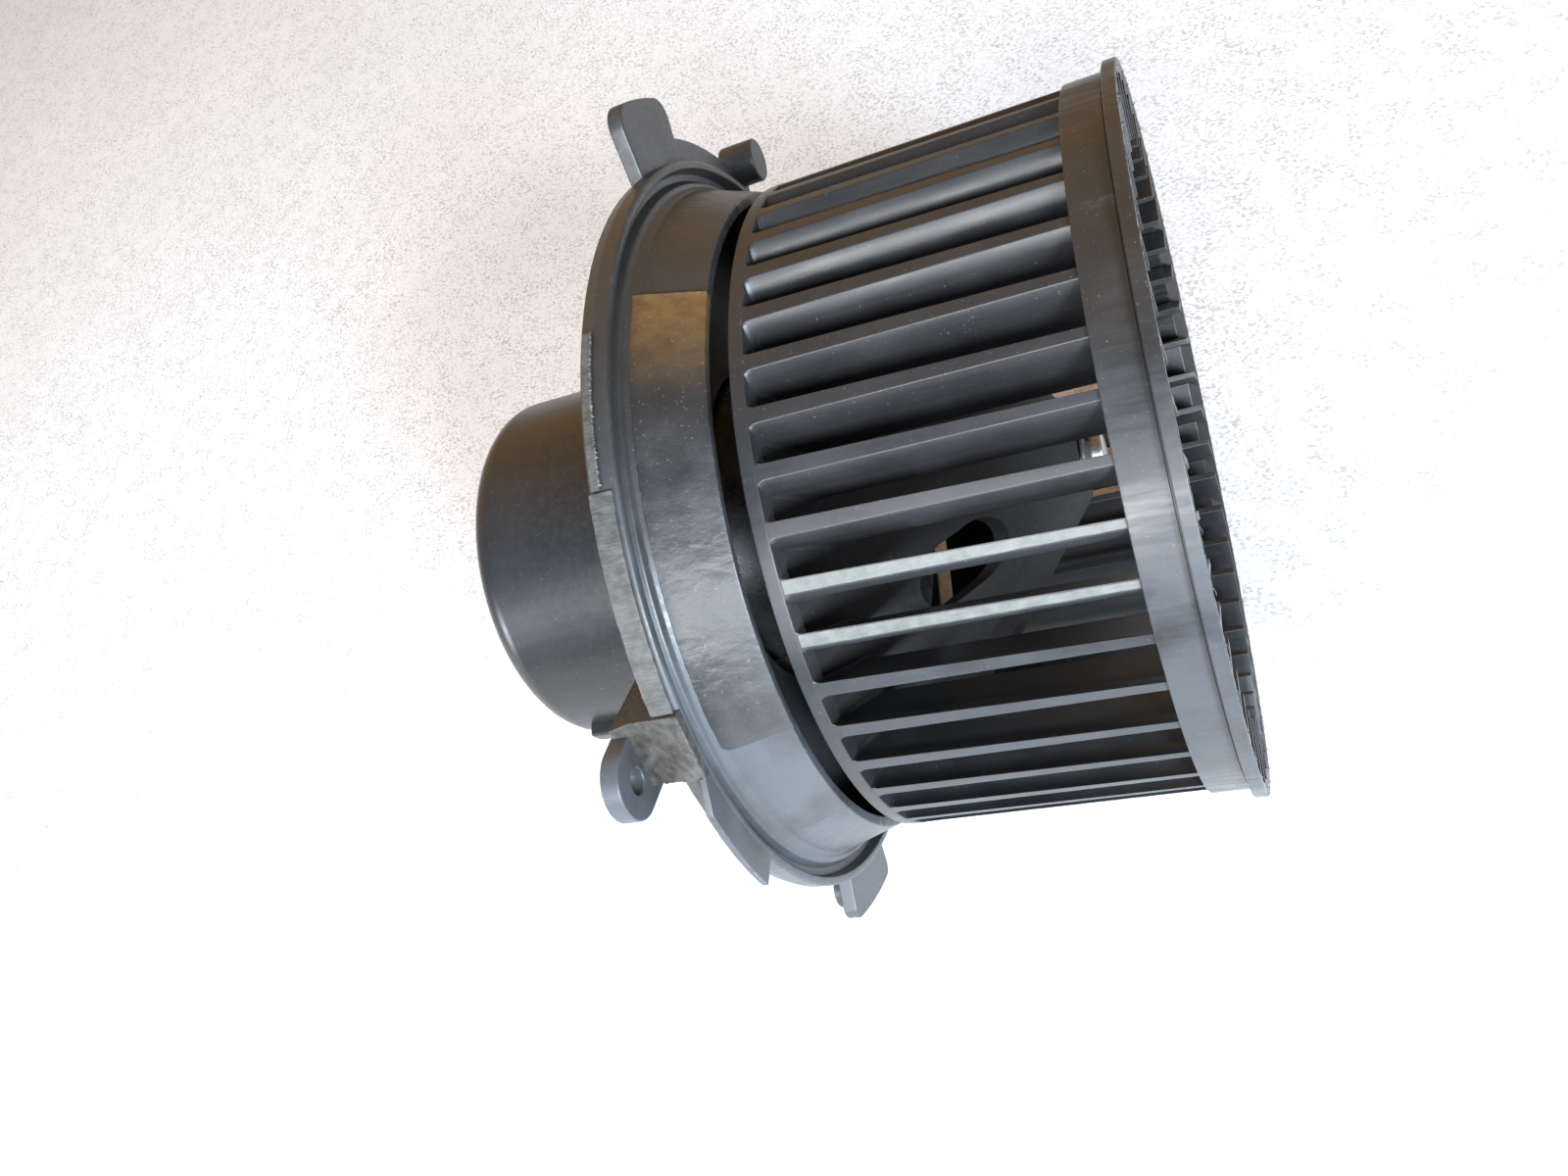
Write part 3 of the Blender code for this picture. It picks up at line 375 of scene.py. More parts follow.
def add_sliver(shape, foot, along, out, side):
    """A thin closed splinter of flash standing on an edge."""
    foot = Vector(foot)
    corners = [foot - along, foot + along, foot + side, foot + out]
    points = [shape.verts.new(corner) for corner in corners]
    for a, b, c in ((0, 1, 2), (0, 1, 3), (1, 2, 3), (2, 0, 3)):
        shape.faces.new((points[a], points[b], points[c]))


def finish_piece(name, shape, material, body, slot, nodes):
    """Turns a bmesh into a shaded piece that rides on a body and stands for these CAD nodes."""
    bmesh.ops.recalc_face_normals(shape, faces=shape.faces)
    mesh = bpy.data.meshes.new(name)
    shape.to_mesh(mesh)
    shape.free()
    mesh.transform(Matrix.Scale(MM, 4))
    mesh.shade_smooth()
    mesh.set_sharp_from_angle(angle=50.0 * DEGREE)
    piece = bpy.data.objects.new(name, mesh)
    bpy.context.scene.collection.objects.link(piece)
    mesh.materials.append(material)
    shading = piece.modifiers.new("even_normals", "WEIGHTED_NORMAL")
    shading.keep_sharp = True
    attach(piece, body)
    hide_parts(*nodes)


def cut(shape, tool):
    """The first closed mesh less the second one, as a new bmesh."""
    objects = []
    for name, part in (("cut_target", shape), ("cut_tool", tool)):
        bmesh.ops.recalc_face_normals(part, faces=part.faces)
        mesh = bpy.data.meshes.new(name)
        part.to_mesh(mesh)
        part.free()
        obj = bpy.data.objects.new(name, mesh)
        bpy.context.scene.collection.objects.link(obj)
        objects.append(obj)
    target, cutter = objects
    modifier = target.modifiers.new("cut", "BOOLEAN")
    modifier.operation = "DIFFERENCE"
    modifier.solver = "EXACT"
    modifier.object = cutter
    graph = bpy.context.evaluated_depsgraph_get()
    result = bmesh.new()
    result.from_object(target, graph)
    for obj in objects:
        mesh = obj.data
        bpy.data.objects.remove(obj)
        bpy.data.meshes.remove(mesh)
    return result


# Materials.


def tint(colour, share):
    return tuple(min(1.0, part * share) for part in colour)


class Nodes:
    """Adds nodes to the node tree of a material or of the world."""

    def __init__(self, tree):
        self.tree = tree

    def new(self, kind):
        return self.tree.nodes.new("ShaderNode" + kind)

    def feed(self, socket, value):
        """Sets a number or a colour on a socket, or links another socket to it."""
        if isinstance(value, float):
            socket.default_value = value
        elif isinstance(value, tuple):
            socket.default_value = (*value, 1.0)
        else:
            self.tree.links.new(value, socket)

    def scaled(self, value, low, high, new_low=0.0, new_high=1.0):
        node = self.new("MapRange")
        names = ("Value", "From Min", "From Max", "To Min", "To Max")
        for name, part in zip(names, (value, low, high, new_low, new_high)):
            self.feed(node.inputs[name], part)
        return node.outputs["Result"]

    def math(self, operation, first, second):
        node = self.new("Math")
        node.operation = operation
        self.feed(node.inputs[0], first)
        self.feed(node.inputs[1], second)
        return node.outputs["Value"]

    def mix(self, factor, first, second):
        """Mixes two colours. A colour node's sockets 0, 6 and 7 are the factor and the two colours."""
        node = self.new("Mix")
        node.data_type = "RGBA"
        for index, value in ((0, factor), (6, first), (7, second)):
            self.feed(node.inputs[index], value)
        return node.outputs[2]


class Look(Nodes):
    """One procedural material, placed by the object's own coordinates."""

    def __init__(self, name, roughness=0.5, metallic=0.0):
        self.material = bpy.data.materials.new(name)
        self.material.use_nodes = True
        super().__init__(self.material.node_tree)
        self.shader = self.tree.nodes["Principled BSDF"]
        self.shader.inputs["Roughness"].default_value = roughness
        self.shader.inputs["Metallic"].default_value = metallic
        self.place = self.new("TexCoord").outputs["Object"]

    def noise(self, size, detail=3.0, stretch=(1.0, 1.0, 1.0), roughness=0.55):
        """Noise with lumps of this size, longer along an axis whose stretch is above 1."""
        mapping = self.new("Mapping")
        mapping.inputs["Scale"].default_value = [1.0 / (size * MM * part) for part in stretch]
        self.feed(mapping.inputs["Vector"], self.place)
        texture = self.new("TexNoise")
        parts = (mapping.outputs["Vector"], 1.0, detail, roughness)
        for name, part in zip(("Vector", "Scale", "Detail", "Roughness"), parts):
            self.feed(texture.inputs[name], part)
        return texture.outputs["Fac"]

    def convex(self, low=0.52, high=0.6):
        """1 on sharp outer edges, 0 elsewhere."""
        return self.scaled(self.new("NewGeometry").outputs["Pointiness"], low, high)

    def along_x(self, low, high):
        """0 where the object's X is low, 1 where it is high."""
        split = self.new("SeparateXYZ")
        self.feed(split.inputs["Vector"], self.place)
        return self.scaled(split.outputs["X"], low * MM, high * MM)

    def shades(self, value, colour, *stops):
        """The colour times a share that depends on the value. Each stop is (value, share)."""
        node = self.new("ValToRGB")
        elements = node.color_ramp.elements
        while len(elements) < len(stops):
            elements.new(0.5)
        for element, (position, share) in zip(elements, stops):
            element.position = position
            element.color = (*tint(colour, share), 1.0)
        self.feed(node.inputs["Fac"], value)
        return node.outputs["Color"]

    def bump(self, height, depth, strength=1.0, under=None):
        """Relief of this depth, on top of an earlier bump if one is given."""
        node = self.new("Bump")
        for name, value in (("Strength", strength), ("Distance", depth * MM), ("Height", height)):
            self.feed(node.inputs[name], value)
        if under:
            self.feed(node.inputs["Normal"], under)
        return node.outputs["Normal"]

    def done(self, colour=None, roughness=None, normal=None):
        for name, value in (("Base Color", colour), ("Roughness", roughness), ("Normal", normal)):
            if value is not None:
                self.feed(self.shader.inputs[name], value)
        return self.material


def moulded_plastic(
    name, colour, gloss=(0.3, 0.5), grain=0.012, wave=0.02, edge=2.2, dust=0.16, shine=0.5, painted_sheen=0.0
):
    """Moulded black plastic: cloudy colour, flow streaks, fine grain, pale edges rubbed by wear and a little
    dust.

    The last argument is the colour of a pale bluish coat on the side that faces +X: painted light for the
    bright floor's reflection on that side.
    """
    look = Look(name)
    look.shader.inputs["Specular IOR Level"].default_value = shine
    cloud = look.noise(14.0, 4.0)
    streak = look.noise(1.1, 4.0, (1.0, 14.0, 1.0))
    fine = look.noise(0.22, 3.0)
    lumps = look.noise(3.5, 2.0)
    speck = look.scaled(look.noise(0.55, 2.0), 0.68, 0.76)
    base = look.shades(cloud, colour, (0.25, 0.8), (0.55, 1.0), (0.8, 1.3))
    ragged_edge = look.math("MULTIPLY", look.convex(), look.scaled(look.noise(1.6, 3.0), 0.35, 0.62))
    shade = look.mix(ragged_edge, base, tint(colour, edge))
    # Painted light: a pale bluish coat towards +X stands for the bright floor's reflection.
    if painted_sheen:
        sheen_share = look.math("MULTIPLY", look.along_x(20.0, 60.0), look.scaled(cloud, 0.2, 0.6))
        shade = look.mix(sheen_share, shade, (0.92 * painted_sheen, painted_sheen, 1.12 * painted_sheen))
    shade = look.mix(look.math("MULTIPLY", speck, 0.5), shade, (dust, dust, 0.95 * dust))
    rough = look.scaled(look.math("ADD", streak, cloud), 0.7, 1.3, *gloss)
    relief = look.bump(lumps, wave)
    relief = look.bump(streak, 0.5 * grain, 1.0, relief)
    relief = look.bump(fine, grain, 1.0, relief)
    return look.done(shade, rough, relief)


def painted_light_patch_plastic(name, colour, stain_and_sheen):
    """A hammered moulded skin, paler towards +X as painted light from the bright floor, mottled amber towards
    its upper end as a painted warm sheen, and glossier there.
    """
    look = Look(name)
    cloud = look.noise(9.0, 4.0)
    fine = look.noise(0.3, 3.0)
    hammer = look.noise(2.4, 3.0, (1.0, 1.6, 1.0))
    speck = look.scaled(look.noise(0.7, 2.0), 0.66, 0.74)
    upper = look.along_x(15.0, -3.0)
    lower = look.along_x(18.0, 44.0)
    mottled = look.math("MULTIPLY", upper, look.scaled(hammer, 0.2, 0.6, 0.45, 1.0))
    dark = look.shades(cloud, colour, (0.3, 0.35), (0.7, 0.6))
    pale = look.shades(cloud, colour, (0.3, 0.8), (0.55, 1.2), (0.78, 1.7))
    # Painted light: paler towards +X for the bright floor, and mottled amber towards the upper end for a warm
    # sheen.
    shade = look.mix(mottled, look.mix(lower, dark, pale), stain_and_sheen)
    shade = look.mix(look.math("MULTIPLY", speck, 0.35), shade, (0.2, 0.2, 0.195))
    rough = look.scaled(look.math("SUBTRACT", cloud, look.math("MULTIPLY", upper, 0.3)), 0.1, 0.6, 0.22, 0.46)
    relief = look.bump(hammer, 0.2)
    relief = look.bump(fine, 0.012, 1.0, relief)
    return look.done(shade, rough, relief)


def scraped_plastic(name, colour, depth=0.05, deepest=0.35, palest=2.1):
    """Plastic rubbed pale and rough, with fine scratches along the spin axis."""
    look = Look(name)
    scratch = look.noise(0.28, 4.0, (1.0, 9.0, 1.0), 0.7)
    patch = look.noise(2.6, 3.0)
    scrape = look.math("MULTIPLY", scratch, patch)
    shade = look.shades(scrape, colour, (0.16, deepest), (0.26, 1.0), (0.42, palest))
    rough = look.scaled(scratch, 0.3, 0.7, 0.38, 0.62)
    relief = look.bump(scratch, depth, 0.8)
    return look.done(shade, rough, relief)


def drawn_metal(name, colour, gloss=(0.22, 0.45), stretch=(1.0, 12.0, 1.0), stain_and_sheen=(0.3, 0.24, 0.18)):
    """Metal with fine tool lines, cloudy oxide and small stains."""
    look = Look(name, metallic=1.0)
    line = look.noise(0.35, 4.0, stretch)
    cloud = look.noise(5.0, 4.0)
    spots = look.scaled(look.noise(1.3, 4.0), 0.62, 0.75)
    base = look.shades(cloud, colour, (0.3, 0.72), (0.7, 1.1))
    shade = look.mix(look.math("MULTIPLY", spots, 0.6), base, stain_and_sheen)
    rough = look.scaled(look.math("ADD", line, cloud), 0.7, 1.3, *gloss)
    relief = look.bump(line, 0.008)
    return look.done(shade, rough, relief)


def dull_solid(name, colour, size, roughness=(0.55, 0.85), depth=0.03, speckle=1.5):
    """Rubber, ferrite, carbon, board or fibre: grainy, with soft colour change."""
    look = Look(name)
    grain = look.noise(size, 5.0)
    cloud = look.noise(12.0 * size, 3.0)
    both = look.math("ADD", look.math("MULTIPLY", grain, 0.6), look.math("MULTIPLY", cloud, 0.4))
    shade = look.shades(both, colour, (0.35, 0.65), (0.52, 1.0), (0.68, speckle))
    rough = look.scaled(grain, 0.3, 0.7, *roughness)
    relief = look.bump(grain, depth)
    return look.done(shade, rough, relief)


def wound_wire(name, colour):
    """Enamelled wire wound round the core: fine ridges and varnish gloss."""
    look = Look(name, metallic=0.75)
    wave = look.new("TexWave")
    wave.wave_type = "RINGS"
    wave.rings_direction = "Y"
    wave.inputs["Scale"].default_value = 1.0 / (2.2 * MM)
    wave.inputs["Distortion"].default_value = 1.5
    look.feed(wave.inputs["Vector"], look.place)
    cloud = look.noise(2.0, 4.0)
    shade = look.shades(cloud, colour, (0.3, 0.5), (0.7, 1.25))
    rough = look.scaled(cloud, 0.3, 0.7, 0.22, 0.4)
    relief = look.bump(wave.outputs["Fac"], 0.12)
    return look.done(shade, rough, relief)


wheel_plastic = moulded_plastic("wheel_plastic", (0.017, 0.017, 0.0175), (0.3, 0.46), 0.008, 0.03, painted_sheen=0.035)
band_plastic = moulded_plastic("band_plastic", (0.019, 0.018, 0.017), (0.2, 0.56), 0.008, 0.06, painted_sheen=0.05)
# The hub cone is the wheel's own plastic made darker, with dimmer edges and specks and less shine: painted
# shade for the inside of the wheel.
painted_shade_hub_plastic = moulded_plastic("painted_shade_hub_plastic", (0.011, 0.011, 0.011), (0.5, 0.7), 0.01, 0.03, 1.6, 0.08, 0.16)
flange_plastic = moulded_plastic("flange_plastic", (0.024, 0.024, 0.024), (0.3, 0.5), 0.012, 0.03, painted_sheen=0.075)
bracket_plastic = moulded_plastic("bracket_plastic", (0.034, 0.031, 0.028), (0.3, 0.45), 0.012, 0.05, 2.6)
patch_plastic = painted_light_patch_plastic("patch_plastic", (0.033, 0.034, 0.036), (0.115, 0.066, 0.026))
# Pale strips on two blade faces: a painted highlight for the glare on them, with the scratches of this look.
glare_strip_plastic = scraped_plastic("glare_strip_plastic", (0.12, 0.125, 0.115), 0.01, 0.8, 1.3)
spring_steel = drawn_metal("spring_steel", (0.12, 0.115, 0.11), (0.35, 0.5))
cover_plastic = moulded_plastic("cover_plastic", (0.013, 0.013, 0.0135), (0.28, 0.36), 0.005, 0.008)
socket_plastic = moulded_plastic("socket_plastic", (0.013, 0.013, 0.0135), (0.35, 0.5), 0.01, 0.01)
flash_plastic = scraped_plastic("flash_plastic", (0.16, 0.16, 0.155))
rim_plastic = scraped_plastic("scraped_rim", (0.06, 0.058, 0.054), 0.02, 0.6, 1.55)
zinc_steel = drawn_metal("zinc_steel", (0.62, 0.62, 0.6))
screw_zinc = drawn_metal("screw_zinc", (0.66, 0.65, 0.6), (0.2, 0.35))
bright_steel = drawn_metal("bright_steel", (0.5, 0.5, 0.49), (0.25, 0.4))
yellow_zinc = drawn_metal("yellow_zinc", (0.66, 0.57, 0.33), (0.25, 0.4))
brass = drawn_metal("brass", (0.72, 0.53, 0.24), (0.2, 0.38))
bronze = drawn_metal("bronze", (0.5, 0.31, 0.13), (0.4, 0.6))
tin = drawn_metal("tin", (0.66, 0.66, 0.64), (0.25, 0.4))
core_iron = drawn_metal("core_iron", (0.26, 0.26, 0.27), (0.35, 0.55), (12.0, 1.0, 12.0))
copper_bar = drawn_metal("copper_bar", (0.66, 0.3, 0.15), (0.2, 0.35), (12.0, 1.0, 12.0))
winding = wound_wire("winding_wire", (0.5, 0.17, 0.06))
ferrite = dull_solid("ferrite", (0.05, 0.05, 0.055), 0.25)
rubber = dull_solid("rubber", (0.02, 0.02, 0.02), 0.5, (0.7, 0.9))
carbon = dull_solid("carbon", (0.035, 0.032, 0.03), 0.2, (0.4, 0.6))
board = dull_solid("board", (0.3, 0.18, 0.09), 0.8, (0.5, 0.7), 0.02, 1.25)
fibre = dull_solid("fibre", (0.72, 0.68, 0.56), 0.6, (0.5, 0.7), 0.02, 1.1)

# Wheel.


def build_wheel_hub():
    """Back ring, and the hub cone with its boss and with the windows cut through it."""
    ring_edge = 0.35
    cone_foot = BOSS_RADIUS + CONE_SLOPE * (BOSS_FRONT - RING_FRONT)
    boss_wall = BOSS_RADIUS + 0.5
    seam = 0.05
    profile = [
        (BOSS_FRONT, BOSS_BORE),
        (BOSS_FRONT, BOSS_RADIUS),
        (RING_FRONT - seam, cone_foot + seam),
        (WHEEL_BACK + seam, cone_foot + seam),
        (WHEEL_BACK + seam, cone_foot - 0.6),
        (BOSS_FRONT - CONE_WALL, boss_wall),
        (BOSS_BACK, boss_wall),
        (BOSS_BACK, BOSS_BORE),
    ]
    ring_profile = [
        (RING_FRONT, cone_foot - 0.4),
        (RING_FRONT, RING_RADIUS),
        (WHEEL_BACK, RING_RADIUS - 0.1),
        (WHEEL_BACK, cone_foot - 0.4),
    ]
    ring = bmesh.new()
    add_ring(ring, rounded(ring_profile, ring_edge), 12 * BLADE_COUNT)
    finish_piece("wheel_ring", ring, wheel_plastic, *ON_WHEEL)
    hub = bmesh.new()
    add_ring(hub, rounded(profile, ring_edge), 6 * BLADE_COUNT)
    windows = bmesh.new()
    steps = 16
    for i in range(WINDOW_COUNT):
        angle = WINDOW_ANGLE + FULL_TURN * i / WINDOW_COUNT
        outline = []
        for centre, half in ((WINDOW_OUTER_END, WINDOW_HALF_WIDTH), (WINDOW_INNER_END, -WINDOW_HALF_WIDTH)):
            for step in range(steps + 1):
                turn = QUARTER_TURN - math.pi * step / steps
                outline.append(flat(centre + half * math.cos(turn), half * math.sin(turn), angle))
        add_prism(windows, outline, RING_FRONT, BOSS_FRONT)
    hub = cut(hub, windows)
    finish_piece("wheel_hub", hub, painted_shade_hub_plastic, *ON_WHEEL)


def blade_section(thick_outer, thick_inner):
    """One blade cut across, as (radial, across): curved near its outer edge, then straight."""
    reach = RING_RADIUS - 0.15
    steps = 16
    convex = []
    hollow = []
    for step in range(steps + 1):
        depth = BLADE_DEPTH * step / steps
        across = BLADE_BOW * (1.0 - max(0.0, 1.0 - depth / BLADE_CREST) ** 2)
        across += BLADE_LEAN * max(0.0, depth - BLADE_CREST)
        thick = thick_outer + (thick_inner - thick_outer) * step / steps
        convex.append((reach - depth, across))
        hollow.append((reach - depth, across - thick))
    hollow.reverse()
    return rounded(convex + hollow, 0.25, 3)


def build_blades():
    """Curved blades from the back ring and the cone to the lip, flared a little where they join the hub."""
    root_section = blade_section(3.0, 1.9)
    tip_section = blade_section(1.8, 1.6)
    front = WHEEL_FRONT - 0.25
    rises = (-0.6, 0.0, 0.15, 0.4, 0.8, 1.4, 3.0)
    shares = (0.2, 0.4, 0.6, 0.8, 0.97)
    blades = bmesh.new()
    for i in range(BLADE_COUNT):
        angle = FIRST_BLADE + FULL_TURN * i / BLADE_COUNT
        feet = []
        for radial, across in root_section:
            distance = math.hypot(radial, across)
            on_cone = BOSS_FRONT - (distance - BOSS_RADIUS) / CONE_SLOPE
            feet.append(max(RING_FRONT, on_cone))
        layers = []
        for rise in rises:
            layer = []
            flare = 0.55 * max(0.0, 1.0 - max(0.0, rise) / 1.4) ** 2
            for (radial, across), foot in zip(inset(root_section, -flare), feet):
                radial = min(radial, RING_RADIUS - 0.12)
                layer.append(local(radial, across, angle, foot + rise))
            layers.append(layer)
        start_rise = rises[-1]
        for share in shares:
            layer = []
            for root, tip, foot in zip(root_section, tip_section, feet):
                radial = root[0] + (tip[0] - root[0]) * share
                across = root[1] + (tip[1] - root[1]) * share
                y = foot + start_rise + (front - foot - start_rise) * share
                layer.append(local(radial, across, angle, y))
            layers.append(layer)
        layers.append([local(radial, across, angle, front) for radial, across in inset(tip_section, 0.12)])
        add_layers(blades, layers)
    finish_piece("wheel_blades", blades, wheel_plastic, *ON_WHEEL)


def build_glare_strips():
    """The outer faces of two blades next to each other, pale along their whole length: a painted highlight
    for the glare on these faces.
    """
    strips = bmesh.new()
    back = RING_FRONT + 0.2
    front = BAND_BACK - 0.1
    steps = 24
    for i in GLARE_BLADES:
        angle = FIRST_BLADE + FULL_TURN * i / BLADE_COUNT
        layers = []
        for step in range(steps + 1):
            share = step / steps
            y = back + (front - back) * share
            ragged_edge = 0.12 * ripple((i * 4000.0, y, 0.0), 4.0)
            left = -0.3 + ragged_edge
            right = -2.75 + 1.1 * share + ragged_edge
            outline = box_outline((RING_RADIUS - 0.5, RING_RADIUS - 0.1), (left, right), angle)
            layers.append([(x, y, z) for x, z in outline])
        add_layers(strips, layers)
    finish_piece("glare_strips", strips, glare_strip_plastic, *ON_WHEEL)


def build_band():
    """The front band and, in front of a narrow groove, the lip with its slightly ragged edge."""
    groove = 0.35
    groove_depth = 0.18
    profile = [
        (BAND_BACK, BAND_BORE),
        (BAND_BACK, BAND_RADIUS),
        (LIP_BACK - groove, BAND_RADIUS),
        (LIP_BACK - groove, BAND_RADIUS - groove_depth),
        (LIP_BACK, BAND_RADIUS - groove_depth),
        (LIP_BACK, LIP_RADIUS),
        (WHEEL_FRONT, LIP_RADIUS),
        (WHEEL_FRONT, BAND_RADIUS),
        (LIP_BACK, BAND_BORE),
    ]
    edge_width = 0.5

    def ragged(y, radius, angle):
        nearness = max(0.0, 1.0 - (WHEEL_FRONT - y) / edge_width)
        place = at(LIP_RADIUS, angle, 0.0)
        wave = ripple(place, 2.1) + 0.6 * ripple(place, 0.8, 3.0)
        return y + 0.09 * wave * nearness, radius + 0.05 * wave * nearness

    band = bmesh.new()
    add_ring(band, rounded(profile, 0.3), 16 * BLADE_COUNT, move=ragged)
    finish_piece("wheel_band", band, band_plastic, *ON_WHEEL)


def build_wheel_flash():
    """Small hooked nibs at the blade ends and splinters of flash along the lip."""
    flash = bmesh.new()
    for i in range(BLADE_COUNT):
        angle = FIRST_BLADE + FULL_TURN * (i + 0.12) / BLADE_COUNT
        size = 0.55 + 0.45 * abs(ripple((i * 3.1, 0.0, 0.0), 1.0))
        across = onward(1.0, angle)
        foot = Vector(at(BAND_RADIUS + 0.3, angle, WHEEL_FRONT - 0.1))
        hooks = ((0.0, 0.0, 0.5), (0.55, 0.5, 0.42), (1.0, 1.3, 0.34), (0.9, 2.0, 0.24), (0.3, 2.3, 0.1))
        layers = []
        for lift, side, thick in hooks:
            centre = foot + Vector((0.0, 0.55 * size * lift, 0.0)) + across * size * side
            half = Vector(at(0.5 * thick * size, angle, 0.0))
            rise = Vector((0.0, 0.22 * thick * size, 0.0))
            layers.append((centre - half, centre + rise, centre + half, centre - rise))
        add_layers(flash, layers)
    splinters = 260
    for i in range(splinters):
        angle = FULL_TURN * (i + 0.5 * ripple((i * 1.7, 2.0, 0.0), 1.0)) / splinters
        size = uneven((i * 0.9, 5.0, 1.0), 0.1, 0.5)
        foot = at(LIP_RADIUS - 0.25, angle, WHEEL_FRONT - 0.06)
        along = onward(0.5 * size, angle)
        out = Vector(at(0.1, angle, 0.22 * size))
        add_sliver(flash, foot, along, out, Vector(at(-0.14, angle, 0.0)))
    finish_piece("wheel_flash", flash, flash_plastic, *ON_WHEEL)


# Flange.


def build_flange_body():
    """Plate, rim, groove, bead and tapered collar, in one turned body."""
    foot = COLLAR_BASE + 0.6
    profile = [
        (PLATE_BACK, PLATE_BORE),
        (PLATE_BACK, RIM_RADIUS - 0.6),
        (LUG_FRONT - 0.4, RIM_RADIUS + 0.4),
        (RIM_FRONT - 0.4, RIM_RADIUS + 0.4),
        (RIM_FRONT, RIM_RADIUS - 0.2),
        (RIM_FRONT, RIM_RADIUS - 1.4),
        (GROOVE_FLOOR, RIM_RADIUS - 2.0),
        (GROOVE_FLOOR, RIM_RADIUS - 3.6),
        (BEAD_FRONT, BEAD_RADIUS),
        (BEAD_FRONT + 0.4, foot),
        (BEAD_FRONT + 1.9, COLLAR_BASE - 0.5),
        (COLLAR_FRONT, COLLAR_RADIUS),
        (COLLAR_FRONT, COLLAR_RADIUS - COLLAR_WALL),
        (PLATE_FRONT, COLLAR_BASE - COLLAR_WALL - 1.6),
        (PLATE_FRONT, PLATE_BORE),
    ]
    edge_width = 0.5

    def ragged(y, radius, angle):
        place = at(COLLAR_RADIUS, angle, 0.0)
        nearness = max(0.0, 1.0 - abs(COLLAR_FRONT - y) / edge_width)
        wave = ripple(place, 1.8, 7.0) + 0.5 * ripple(place, 0.7, 9.0)
        y += 0.08 * wave * nearness
        radius += 0.05 * wave * nearness
        rim = max(0.0, 1.0 - abs(radius - RIM_RADIUS) / 0.8)
        radius += 0.05 * rim * ripple(place, 2.4, 11.0)
        return y, radius

    body = bmesh.new()
    add_ring(body, rounded(profile, 0.35), 720, move=ragged)
    finish_piece("flange_body", body, flange_plastic, *ON_FLANGE)


def build_patch():
    """The raised patch on the collar with a seam along each end, its skin slightly hammered."""
    rise = 0.45
    cut_length = 0.595
    back = BEAD_FRONT + 0.8
    profile = [
        (back, COLLAR_BASE - 2.0),
        (back, COLLAR_BASE + 0.1),
        (back + 1.8, COLLAR_BASE - 0.8 + rise),
        (COLLAR_FRONT + 0.4, COLLAR_RADIUS + rise),
        (COLLAR_FRONT + 0.4, COLLAR_RADIUS - 1.2),
    ]
    corners = rounded(profile, 0.3)
    fine = []
    for i, point in enumerate(corners):
        after = corners[(i + 1) % len(corners)]
        reach = math.hypot(after[0] - point[0], after[1] - point[1])
        cuts = max(1, round(reach / cut_length))
        for step in range(cuts):
            share = step / cuts
            fine.append(
                (point[0] + (after[0] - point[0]) * share, point[1] + (after[1] - point[1]) * share)
            )

    def hammered(y, radius, angle):
        place = at(radius, angle, y)
        lump = 0.05 * ripple(place, 3.2, 2.0) + 0.025 * ripple(place, 1.3, 4.0)
        from_start = angle - PATCH_START
        from_end = PATCH_START + PATCH_SWEEP - angle
        seam = 0.35 * math.exp(-((from_start * COLLAR_BASE / 0.7) ** 2))
        sink = 0.4 * math.exp(-((from_end * COLLAR_BASE / 1.0) ** 2))
        return y, radius + lump + seam - sink

    patch = bmesh.new()
    add_ring(patch, fine, 200, PATCH_START, PATCH_SWEEP, hammered)
    finish_piece("collar_patch", patch, patch_plastic, *ON_FLANGE)


def lower_wing_outline():
    """The lower wing in the (x, z) plane: slanted where it leaves the bracket, pointed at its far end."""
    root = arc_outline(RIM_RADIUS - 1.0, WING_END, WING_START, 12)
    return root + [flat(WING_FOOT, 0.0, WING_START)] + arc_outline(WING_RADIUS, WING_BEND, WING_END, 12)


def build_lugs():
    """Tab, wing, round boss on its neck, lower wing, fin, rear boss and the screw bosses."""
    lugs = bmesh.new()
    edge = 0.7
    tab = sector_outline(LUG_ROOT, 97.0, -48.5 * DEGREE, -32.0 * DEGREE, 5.0)
    add_slab(lugs, tab, PLATE_BACK, LUG_FRONT, edge)
    fin = sector_outline(LUG_ROOT, 93.6, 117.8 * DEGREE, 135.4 * DEGREE, 3.0)
    add_slab(lugs, fin, PLATE_BACK, LUG_FRONT, 0.5)
    wing_front = RIM_FRONT - 0.1
    add_slab(lugs, lower_wing_outline(), wing_front - WING_THICKNESS, wing_front, 0.25)
    wing = sector_outline(LUG_ROOT, 88.6, -74.0 * DEGREE, -47.0 * DEGREE, 1.5)
    add_slab(lugs, wing, PLATE_BACK + 0.2, LUG_FRONT - 0.1, 0.6)
    neck = ear_outline(LUG_ROOT + 0.3, 7.0, 91.5, 4.4, BOSS_ANGLE)
    add_slab(lugs, neck, PLATE_BACK + 0.4, LUG_FRONT - 0.3, 0.5)
    boss = circle_outline(5.2, 92.0, BOSS_ANGLE)
    add_slab(lugs, boss, PLATE_BACK - 0.5, 5.2, 0.6)
    rear_boss = circle_outline(4.5, 88.0, 123.0 * DEGREE)
    add_slab(lugs, rear_boss, PLATE_BACK - 3.0, 0.0, 0.5)
    finish_piece("flange_lugs", lugs, flange_plastic, *ON_FLANGE)
    bosses = bmesh.new()
    holes = bmesh.new()
    for angle in SCREW_ANGLES:
        outline = circle_outline(4.2, SCREW_CIRCLE, angle)
        add_slab(bosses, outline, PLATE_BACK + 0.6, 7.0, 0.4)
        hole = circle_outline(SCREW_HOLE, SCREW_CIRCLE, angle, 32)
        add_slab(holes, hole, PLATE_BACK - 1.0, 5.6, 0.1)
    bosses = cut(bosses, holes)
    finish_piece("screw_bosses", bosses, flange_plastic, *ON_FLANGE)


